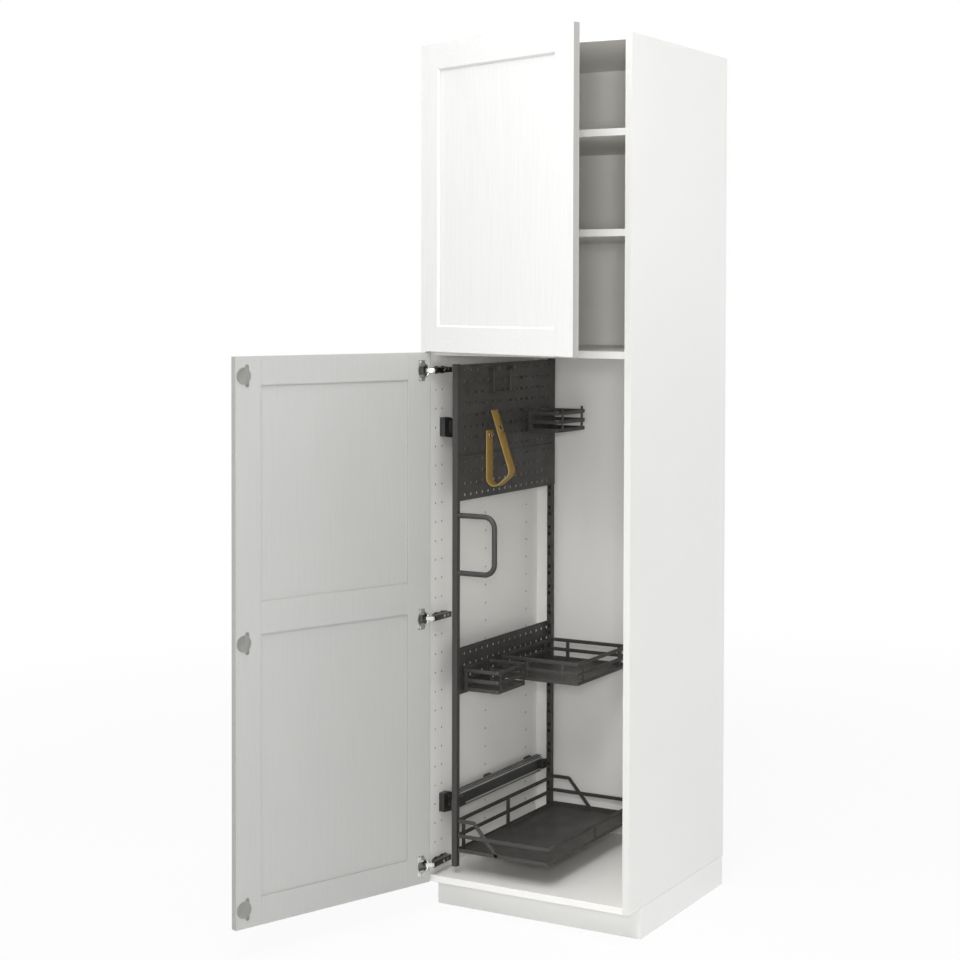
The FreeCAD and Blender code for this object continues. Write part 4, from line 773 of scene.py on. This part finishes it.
doors = {"pivot": (-290.5, -613.5), "back": 10.5, "lowerAngle": -110, "upperAngle": -20.75,
         "lowerLevels": (128.5, 780, 1431.5), "upperLevels": (1528.5, 2231.5), "cup": 14.5, "cap": 566}
hinge = {"sides": 48, "wellSides": 40, "ear": (-11.25, -8.25, 22.5, 16.5, 2.5, 4),
         "earRise": (0.05, 1.2, 0.4), "earPlace": (7, 19), "screwPlace": (7, 22.5, 1.1),
         "armScrew": -561, "cornerScrew": -544, "screwSunk": 0.1,
         "cup": ((0, -11.8), (16.8, -11.8), (17.2, -11.2), (17.4, 0), (19.2, 0), (19.8, 0.4), (19.6, 1.1),
                 (18.8, 1.2), (17.2, 1.2), (16.6, 0.6), (16.3, -10.5), (15.5, -11), (0, -11)),
         "well": ((0, -10.8), (16.1, -10.8), (16.2, -2.5), (16, -2.5), (15.8, -10.5), (0, -10.5))}
coverCap = {"sides": 48, "ear": (45, 5.5), "earRise": (0.05, 1.8, 0.5), "earOffset": -9.5,
            "dimpleReach": 22.5, "dimpleSides": 20,
            "cap": ((0, -8), (16.8, -8), (17.2, -7.6), (17.2, 0), (20, 0), (20.5, 0.5), (20.4, 1.5),
                    (19.8, 2), (18.8, 2), (18, 1.4), (0, 1.3)),
            "dimple": ((0, 1.8), (2.2, 1.8), (2.6, 2.2), (3, 2.2), (3.2, 1.7))}


def railTurn(side):
    # Lays the foil's grain along a rail of a door that stands open
    return 0, math.pi / 2, -math.radians(doors[side + "Angle"])


def dressDoor(side, labels, materials):
    # Foil in front; the inner face and the edges get darker copies of the foil, painted shade
    backWay = Matrix.Rotation(math.radians(doors[side + "Angle"]), 3, "Z") @ Vector((0, 1, 0))
    for label, material in zip(labels, materials):
        piece = dressNode(side + label, material, 0.7)
        for other in (doorBack, doorEdge):
            piece.data.materials.append(other)
        for face in piece.data.polygons:
            facing = face.normal.dot(backWay)
            face.material_index = 1 if facing > 0.2 else 2 if facing > -0.2 else 0


def doorPlace(side, x, z):
    # A frame on the door: X across the door, Z out of its inner face
    turn = Matrix.Rotation(math.radians(doors[side + "Angle"]), 4, "Z")
    pivot = Matrix.Translation(mm(*doors["pivot"], 0))
    return pivot @ turn @ frameOf(mm(x, doors["back"], z), (1, 0, 0), (0, 1, 0))


def stadium(length, radius, steps=8):
    corners = []
    for end, start in ((1, -math.pi / 2), (-1, math.pi / 2)):
        for k in range(steps + 1):
            angle = start + math.pi * k / steps
            corners.append((end * length / 2 + radius * math.cos(angle), radius * math.sin(angle)))
    return corners


def makeHead(name, radius, height, metal):
    # Countersunk screw head with a cross recess, drawn as two dark bars: painted shade in the recess
    shape = turned([(0, -0.6), (radius * 0.98, -0.6), (radius, height * 0.3), (radius * 0.86, height * 0.8),
                    (radius * 0.55, height), (0, height)], 24)
    low = mm(-radius * 0.62, -radius * 0.11, height * 0.55)
    high = mm(radius * 0.62, radius * 0.11, height * 1.03)
    for k in range(2):
        merge(shape, roundedBox(low, high, 0), Matrix.Rotation(k * math.pi / 2, 4, "Z"), 1)
    head = addObject(name, toMesh(name, shape))
    for material in (metal, recessShadeNickel):
        head.data.materials.append(material)
    return head


headShape = makeHead("headShape", 3.6, 1.1, nickel)
bigHeadShape = makeHead("bigHeadShape", 4.8, 1.4, highlightNickel)


def addScrews(name, places, facings, head, body, seed):
    grown = grow(name, pointMesh(places, facings), scatterTree, Shape=head, Turn_Seed=seed)
    settle(addObject(name, grown), body, "nickel_steel")


def makeCups(side, body):
    shape = bmesh.new()
    wellShape = bmesh.new()
    places = []
    facings = []
    across, reach, rise = hinge["screwPlace"]
    earAcross, earReach = hinge["earPlace"]
    for z in doors[side + "Levels"]:
        stand = doorPlace(side, doors["cup"], z)
        merge(shape, turned(hinge["cup"], hinge["sides"]), stand)
        for end in (1, -1):
            ear = extruded(roundedLoop(*hinge["ear"]), *hinge["earRise"])
            smoothen(ear)
            merge(shape, ear, stand @ Matrix.Translation(mm(earAcross, earReach * end, 0)))
            places.append(stand @ mm(across, reach * end, rise))
            facings.append(stand.to_3x3() @ Vector((0, 0, 1)))
        # A dark lining in the hollow of each cup: painted shade
        merge(wellShape, turned(hinge["well"], hinge["wellSides"]), stand)
    finishPiece(side + "HingeCups", shape, [nickel], body, "nickel_steel", side + "_hinge_cups")
    finishPiece(side + "CupWells", wellShape, [recessShadeNickel], body, "nickel_steel")
    addScrews(side + "CupScrews", places, facings, headShape, body, 11)


def makeCaps(side, body):
    shape = bmesh.new()
    for z in doors[side + "Levels"]:
        stand = doorPlace(side, doors["cap"], z)
        merge(shape, turned(coverCap["cap"], coverCap["sides"]), stand)
        ear = extruded(stadium(*coverCap["ear"]), *coverCap["earRise"])
        smoothen(ear)
        merge(shape, ear, stand @ Matrix.Translation(mm(coverCap["earOffset"], 0, 0))
              @ Matrix.Rotation(math.pi / 2, 4, "Z"))
        for end in (1, -1):
            merge(shape, turned(coverCap["dimple"], coverCap["dimpleSides"]),
                  stand @ Matrix.Translation(mm(coverCap["earOffset"], coverCap["dimpleReach"] * end, 0)))
    finishPiece(side + "DoorCaps", shape, [capPlastic], body, "cap_plastic", side + "_door_caps")


def addArmScrews(name, depth, head, seed):
    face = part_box("lower_hinge_arms")[1][0] * 1000 - hinge["screwSunk"]
    places = [mm(face, depth, z) for z in doors["lowerLevels"] + doors["upperLevels"]]
    addScrews(name, places, [(1, 0, 0)] * len(places), head, "cabinet", seed)


foilLevelLower = boardMaterial("foilLevelLower", *foil, railTurn("lower"))
foilLevelUpper = boardMaterial("foilLevelUpper", *foil, railTurn("upper"))
dressDoor("lower", ("_door_stiles", "_door_panels", "_door_rails"),
          (foilUpright, foilUpright, foilLevelLower))
dressDoor("upper", ("_door_stiles", "_door_panel", "_door_rails"),
          (foilUpright, foilUpright, foilLevelUpper))
for side in ("lower", "upper"):
    makeCups(side, side + "_door")
    makeCaps(side, side + "_door")
    dressNode(side + "_hinge_arms", armNickelDarkReflection, 0.6, 3, 40)
    dressNode(side + "_hinge_plates", armNickelDarkReflection, 0.6)
    dressNode(side + "_hinge_links", highlightNickel, 0.5, 2, 40)
addArmScrews("armScrews", hinge["armScrew"], bigHeadShape, 3)
addArmScrews("cornerScrews", hinge["cornerScrew"], headShape, 5)
print("cabinet: doors and hinges made")

# Pull-out rack

pegs = {"thick": 0.8, "radius": 3.8, "segments": 14, "columns": 16, "columnPitch": 30.67, "rowPitch": 30}
pegSheets = {
    "pegSheetUpper": {"node": "perforated_panel_upper", "face": -218.5, "span": (-568, -26),
                      "levels": (1207.8, 1446), "firstColumn": -531, "topRow": 1431, "rows": 8},
    "pegSheetLower": {"node": "perforated_panel_lower", "face": -218.5, "span": (-568, -26),
                      "levels": (1086, 1204.2), "firstColumn": -531, "topRow": 1191, "rows": 4},
    "pegStrip": {"node": "accessory_strip", "face": -233.5, "span": (-552.7, -41.3), "levels": (568, 693),
                 "firstColumn": -506, "topRow": 674, "rows": 4}}
seam = {"low": (-223.2, -552, 1199), "high": (-222, -42, 1213), "eased": 0.2}
post = {"wall": 1.2, "slotWide": 7, "slotHigh": 10, "topSlot": 1077, "lowest": 150, "pairPitch": 57,
        "pairGap": 19}
rods = {
    "pullHandle": {"node": "pull_handle", "body": "rack", "radius": 7, "bend": 30, "steps": 14, "sides": 28,
                   "run": ((-220, -560.5, 1049), (-111, -560.5, 1049), (-111, -560.5, 897),
                           (-220, -560.5, 897))},
    "wireBailRod": {"node": "wire_bail", "body": "bail", "radius": 2, "bend": 5, "steps": 6, "sides": 16,
                    "run": ((-214.5, -372.65, 1431), (-214.5, -385.65, 1431), (-214.5, -385.65, 1369),
                            (-214.5, -293.64, 1369), (-214.5, -293.64, 1431), (-214.5, -280.64, 1431))}}
trays = {
    "top_basket": {"low": (-218.3, -198.96, 1248), "size": (104, 163, 58), "thick": 2.5, "levels": (28, 53),
                   "rise": 10, "uprights": (("right", 0.13), ("right", 0.89), ("front", 0.04)),
                   "hooks": (-162.96, -70.95), "hookLevel": 1281, "seat": -218.5},
    "small_bin": {"low": (-233.3, -520, 577), "size": (112, 150, 60), "thick": 2.5, "levels": (29, 55),
                  "rise": 0, "uprights": (("right", 0.07), ("right", 0.95), ("front", 0.01)),
                  "hooks": (-506, -383.32), "hookLevel": 614, "seat": -233.5},
    "side_tray": {"low": (-219.8, -339.98, 582), "size": (242, 308.03, 62), "thick": 3, "levels": (30, 57),
                  "rise": 0, "uprights": (("front", 0.34), ("front", 0.81), ("back", 0.19), ("back", 0.9),
                                          ("right", 0.09), ("right", 0.83)),
                  "hooks": (-321.98, -76.62), "hookLevel": 614, "seat": -233.5}}
bottomTray = {"low": (-220, -568, 158.5), "size": (275, 542), "thick": 3, "barLevel": 43, "railLevel": 82.4,
              "railFoot": 3, "kneeStart": 52, "kneeEnd": 122, "leftPosts": (-542, -302),
              "rightPosts": (-302,), "postSize": (6, 10)}
flats = {"high": 10, "corner": 8, "edge": 0.5, "bendSteps": 6, "lip": 10, "pan": 1.2, "panEase": 0.3,
         "panCorner": 1.5, "panFoot": 0.6, "wide": 10, "overlap": 0.1, "hookSize": 2.2, "hookTail": 4,
         "hookDrop": 7, "hangerThick": 2.5, "hookGap": 1.7}
bracket = {"columns": (-311, -81.5), "half": 16.5, "depth": (-282, -266), "levels": (260, 304), "dome": 7.5}
blockScrew = {"face": -266.2, "depth": -530, "levels": (280, 1280), "rises": (11, -11)}


def makePegSheet(name, sheet):
    front, back = sheet["span"]
    low, high = sheet["levels"]
    middle = mm(sheet["face"], (front + back) / 2, (low + high) / 2)
    centres = []
    for row in range(sheet["rows"]):
        for column in range(pegs["columns"]):
            y = sheet["firstColumn"] + column * pegs["columnPitch"]
            z = sheet["topRow"] - row * pegs["rowPitch"]
            centres.append(mm(y, z, 0) - Vector((middle.y, middle.z, 0)))
    grown = grow(name, pointMesh(centres), drilledTree, Width=(back - front) / 1000,
                 Height=(high - low) / 1000, Depth=pegs["thick"] / 1000, Through=True,
                 Hole_Radius=pegs["radius"] / 1000, Hole_Segments=pegs["segments"],
                 Sheet_Material=powderCoat, Bore_Material=powderCoat)
    grown.transform(frameOf(middle, (0, 1, 0), (1, 0, 0)))
    finishPiece(name, shapeOf(grown), [powderCoat], "rack", "anthracite_steel", sheet["node"])


def makeSeamShadeStrip():
    # A dark strip behind the joint of the two perforated sheets: painted shade for the gap between them
    shape = roundedBox(mm(*seam["low"]), mm(*seam["high"]), seam["eased"])
    finishPiece("seamBacking", shape, [darkPlastic], "rack", "anthracite_steel")


def makeSlottedPost():
    # Square tube with pairs of slots down its front face
    low, high = [Vector(corner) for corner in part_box("rear_post")]
    wall = post["wall"] / 1000
    middle = (low + high) / 2
    span = high - low
    pairs = range(post["topSlot"], post["lowest"], -post["pairPitch"])
    centres = [Vector((0, (level - gap) / 1000 - middle.z, 0))
               for level in pairs for gap in (0, post["pairGap"])]
    faces = (((1, 0, 0), (middle.x, low.y, middle.z), (0, -1, 0), span.x, centres),
             ((0, 1, 0), (high.x, middle.y, middle.z), (1, 0, 0), span.y - 2 * wall, []),
             ((-1, 0, 0), (middle.x, high.y, middle.z), (0, 1, 0), span.x, []),
             ((0, -1, 0), (low.x, middle.y, middle.z), (-1, 0, 0), span.y - 2 * wall, []))
    shape = bmesh.new()
    for across, place, up, width, slots in faces:
        strip = grow("postFace", pointMesh(slots), drilledTree, Width=width, Height=span.z, Depth=wall,
                     Through=True, Slot=True, Slot_Width=post["slotWide"] / 1000,
                     Slot_Height=post["slotHigh"] / 1000, Sheet_Material=powderCoat, Bore_Material=powderCoat)
        strip.transform(frameOf(place, across, up))
        merge(shape, shapeOf(strip))
    finishPiece("slottedPost", shape, [powderCoat], "rack", "anthracite_steel", "rear_post")


def makeRod(name, bar):
    grown = grow(name, lineMesh([mm(*point) for point in bar["run"]]), rodTree, Radius=bar["radius"] / 1000,
                 Bend=bar["bend"] / 1000, Bend_Steps=bar["steps"], Sides=bar["sides"],
                 Bar_Material=powderCoat)
    shape = shapeOf(grown)
    smoothen(shape)
    finishPiece(name, shape, [powderCoat], bar["body"], "anthracite_steel", bar["node"])


def addPan(shape, low, wide, long):
    # A shallow pan with a rim, as rings from its underside up and over the rim to its floor
    x, y, z = low
    wall, ease, lip, foot = flats["pan"], flats["panEase"], flats["lip"], flats["panFoot"]
    rings = []
    deep = wall + flats["panCorner"]
    for inset, level in ((foot, 0), (0, foot), (0, lip - ease), (ease, lip), (wall - ease, lip),
                         (wall, lip - ease), (wall, deep), (deep, wall)):
        loop = roundedLoop(x + inset, y + inset, wide - 2 * inset, long - 2 * inset, flats["corner"] - inset)
        rings.append([shape.verts.new(mm(a, b, z + level)) for a, b in loop])
    shape.faces.new(rings[0][::-1])
    shape.faces.new(rings[-1])
    for ring, following in zip(rings, rings[1:]):
        for k in range(len(ring)):
            after = (k + 1) % len(ring)
            shape.faces.new((ring[k], ring[after], following[after], following[k]))


def addBar(shape, name, points, thick, closed):
    mesh = grow(name, lineMesh([mm(*point) for point in points], closed), flatTree, Thickness=thick / 1000,
                Height=flats["high"] / 1000, Bend=(flats["corner"] - thick / 2) / 1000,
                Bend_Steps=flats["bendSteps"], Edge_Radius=flats["edge"] / 1000, Bar_Material=powderCoat)
    shape.from_mesh(mesh)
    bpy.data.meshes.remove(mesh)


def addRing(shape, name, low, wide, long, thick, level):
    x, y, z = low
    half = thick / 2
    corners = ((half, half), (wide - half, half), (wide - half, long - half), (half, long - half))
    addBar(shape, name, [(x + across, y + along, z + level) for across, along in corners], thick, True)


def addBlock(shape, low, high, radius=0.4):
    merge(shape, roundedBox(mm(*low), mm(*high), radius))


def addHook(shape, tray, column):
    # A hanger on the wall of the tray with a hook through the perforated sheet
    x, y, z = tray["low"]
    half = flats["wide"] / 2
    size = flats["hookSize"] / 2
    level = tray["hookLevel"]
    tail = tray["seat"] - flats["hookTail"]
    addBlock(shape, (x, column - half, z + flats["overlap"]),
             (x + flats["hangerThick"], column + half, z + tray["size"][2]))
    addBlock(shape, (tail, column - size, level - size),
             (x + flats["hangerThick"] / 2, column + size, level + size), 0.5)
    addBlock(shape, (tail, column - size, level + size - flats["hookDrop"]),
             (tray["seat"] - flats["hookGap"], column + size, level + size), 0.5)


def finishTray(label, shape, node):
    closeUp(shape)
    smoothen(shape)
    finishPiece(label + "Welded", shape, [powderCoat], "rack", "anthracite_steel", node)


def makeTray(label, tray):
    shape = bmesh.new()
    x, y, z = tray["low"]
    wide, long, high = tray["size"]
    thick, flat, inside = tray["thick"], flats["high"], flats["overlap"]
    addPan(shape, tray["low"], wide, long)
    for level in tray["levels"]:
        addRing(shape, label + "Ring", tray["low"], wide, long, thick, level)
    for face, share in tray["uprights"]:
        if face == "right":
            along = max(y + share * (long - flat), y + flats["corner"] - 1)
            first, last = (x + wide - thick + inside, along), (x + wide - inside, along + flat)
        else:
            along = max(x + share * (wide - flat), x + flats["corner"] - 1)
            near = y if face == "front" else y + long - thick
            first, last = (along, near + inside), (along + flat, near + thick - inside)
        addBlock(shape, (*first, z + 1), (*last, z + high + tray["rise"] - inside))
    for column in tray["hooks"]:
        addHook(shape, tray, column)
    finishTray(label, shape, label)


def makeBottomTray():
    shape = bmesh.new()
    x, y, z = bottomTray["low"]
    wide, long = bottomTray["size"]
    thick, inside = bottomTray["thick"], flats["overlap"]
    half = thick / 2
    addPan(shape, bottomTray["low"], wide, long)
    addRing(shape, "bottomRing", bottomTray["low"], wide, long, thick, bottomTray["barLevel"])
    top = z + bottomTray["railLevel"]
    path = []
    for way, edge in ((1, y + half), (-1, y + long - half)):
        ends = [(x + bottomTray["kneeEnd"], edge, z + bottomTray["railFoot"]),
                (x + bottomTray["kneeStart"], edge, top), (x + half, edge, top)]
        path += ends[::way]
    addBar(shape, "bottomRail", path, thick, False)
    deep, broad = bottomTray["postSize"]
    for column in bottomTray["leftPosts"]:
        addBlock(shape, (x + inside, column, z + 1), (x + deep, column + broad, top - 0.3), 0.5)
    for column in bottomTray["rightPosts"]:
        addBlock(shape, (x + wide - thick + inside, column, z + 1),
                 (x + wide - inside, column + broad, z + bottomTray["barLevel"]))
    finishTray("bottomTray", shape, "bottom_tray")


def makeWallBrackets():
    # Domed blocks that hold the runner to the side panel
    shape = bmesh.new()
    (near, far), (low, high) = bracket["depth"], bracket["levels"]
    half = bracket["half"]
    for column in bracket["columns"]:
        merge(shape, roundedBox(mm(near, column - half, low), mm(far, column + half, high),
                                bracket["dome"], 5))
    finishPiece("wallBracketDomes", shape, [darkPlastic], "cabinet", "dark_plastic", "runner_wall_brackets")


for name, sheet in pegSheets.items():
    makePegSheet(name, sheet)
for label, tray in trays.items():
    makeTray(label, tray)
makeBottomTray()
makeSeamShadeStrip()
makeSlottedPost()
for name, bar in rods.items():
    makeRod(name, bar)
dressNode("front_post", powderCoat, 1.2, 3)
dressNode("post_end_caps", darkPlastic, 0.6)
dressNode("bail_ears", powderCoat, 0.5)
for label in ("runner_cabinet_rail", "runner_middle_rail", "runner_frame_rail", "guide_rail"):
    dressNode(label, coatedSteel, 0.3)
dressNode("runner_glides", glidePlastic, 0.2)
for label in ("guide_shoe", "runner_frame_brackets", "front_brackets"):
    dressNode(label, darkPlastic, 0.8)
makeWallBrackets()
blockPlaces = [mm(blockScrew["face"], blockScrew["depth"], z + rise)
               for z in blockScrew["levels"] for rise in blockScrew["rises"]]
addScrews("blockScrews", blockPlaces, [(1, 0, 0)] * len(blockPlaces), headShape, "cabinet", 9)
print("cabinet: rack and runner made")

# Leather strap

strap = {"y": -403.1, "wide": 35, "thick": 2.5, "bend": 22, "bendSteps": 10, "piece": 6, "easeWide": 0.6,
         "easeThick": 0.5, "hingeShare": 0.66, "hingeReach": 12,
         "run": ((-217.25, 1265), (-217.25, 1091), (-144.5, 1150), (-203, 1320))}
snap = {"sides": 32, "rim": ((0, -1), (6.8, -1), (7.1, 0), (6.7, 0.9), (5.4, 1), (5.2, 0.4), (0, 0.4)),
        "dome": ((0, 0), (5, 0), (4.8, 0.8), (3.4, 1.3), (0, 1.5))}


def roundedRun(points, bend, steps):
    # The points of a line in XZ with its corners rounded
    run = [Vector(points[0])]
    for before, corner, after in zip(points, points[1:], points[2:]):
        before, corner, after = Vector(before), Vector(corner), Vector(after)
        back = (before - corner).normalized()
        ahead = (after - corner).normalized()
        half = back.angle(ahead) / 2
        reach = min(bend / math.tan(half), 0.52 * min((before - corner).length, (after - corner).length))
        radius = reach * math.tan(half)
        centre = corner + (back + ahead).normalized() * (radius / math.sin(half))
        first = corner + back * reach - centre
        last = corner + ahead * reach - centre
        sweep = first.angle_signed(last)
        for k in range(steps + 1):
            run.append(centre + Matrix.Rotation(-sweep * k / steps, 2) @ first)
    run.append(Vector(points[-1]))
    return run


def strapPoints():
    run = roundedRun(strap["run"], strap["bend"], strap["bendSteps"])
    dense = []
    for start, end in zip(run, run[1:]):
        parts = max(1, int((end - start).length / strap["piece"]))
        dense += [start.lerp(end, k / parts) for k in range(parts)]
    return dense + [run[-1]]


def makeStrap():
    dense = strapPoints()
    shape = bmesh.new()
    half, wide = strap["thick"] / 2, strap["wide"] / 2
    thin, narrow = half - strap["easeThick"], wide - strap["easeWide"]
    section = [(half, -narrow), (thin, -wide), (-thin, -wide), (-half, -narrow),
               (-half, narrow), (-thin, wide), (thin, wide), (half, narrow)]
    rings = []
    for k, point in enumerate(dense):
        along = (dense[min(len(dense) - 1, k + 1)] - dense[max(0, k - 1)]).normalized()
        side = Vector((-along.y, along.x))
        rings.append([shape.verts.new(mm(point.x + side.x * s, strap["y"] + w, point.y + side.y * s))
                      for s, w in section])
    count = len(section)
    for ring, following in zip(rings, rings[1:]):
        for k in range(count):
            after = (k + 1) % count
            face = shape.faces.new((ring[k], ring[after], following[after], following[k]))
            face.material_index = 0 if k in (3, 7) else 1
            face.smooth = True
    for ring in (rings[0], rings[-1]):
        shape.faces.new(ring).material_index = 1
    closeUp(shape)
    piece = addObject("leatherStrap", toMesh("leatherStrap", shape))
    for material in (leatherFace, leatherEdge):
        piece.data.materials.append(material)
    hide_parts("strap_fixed_leg", "strap_free_leg")
    corner, elbow = Vector(strap["run"][1]), Vector(strap["run"][2])
    along = (elbow - corner).normalized() * strap["hingeReach"]
    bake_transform(piece)


def makeSnap(label, body, facing):
    # A dark domed button in a copper rim
    low, high = [Vector(corner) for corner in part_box(label)]
    stand = frameOf((low + high) / 2, (0, 1, 0), facing)
    shape = bmesh.new()
    merge(shape, turned(snap["rim"], snap["sides"]), stand)
    merge(shape, turned(snap["dome"], snap["sides"]), stand, 1)
    finishPiece(label + "Button", shape, [snapRim, snapDome], body, "snap_metal", label)


makeStrap()
makeSnap("strap_snap_stud", "rack", (1, 0, 0))
tipRun = Vector(strap["run"][3]) - Vector(strap["run"][2])
makeSnap("strap_snap_socket", "strap_leg", (tipRun.y, 0, -tipRun.x))
for helper in (headShape, bigHeadShape):
    bpy.data.objects.remove(helper)
print("cabinet: strap made")
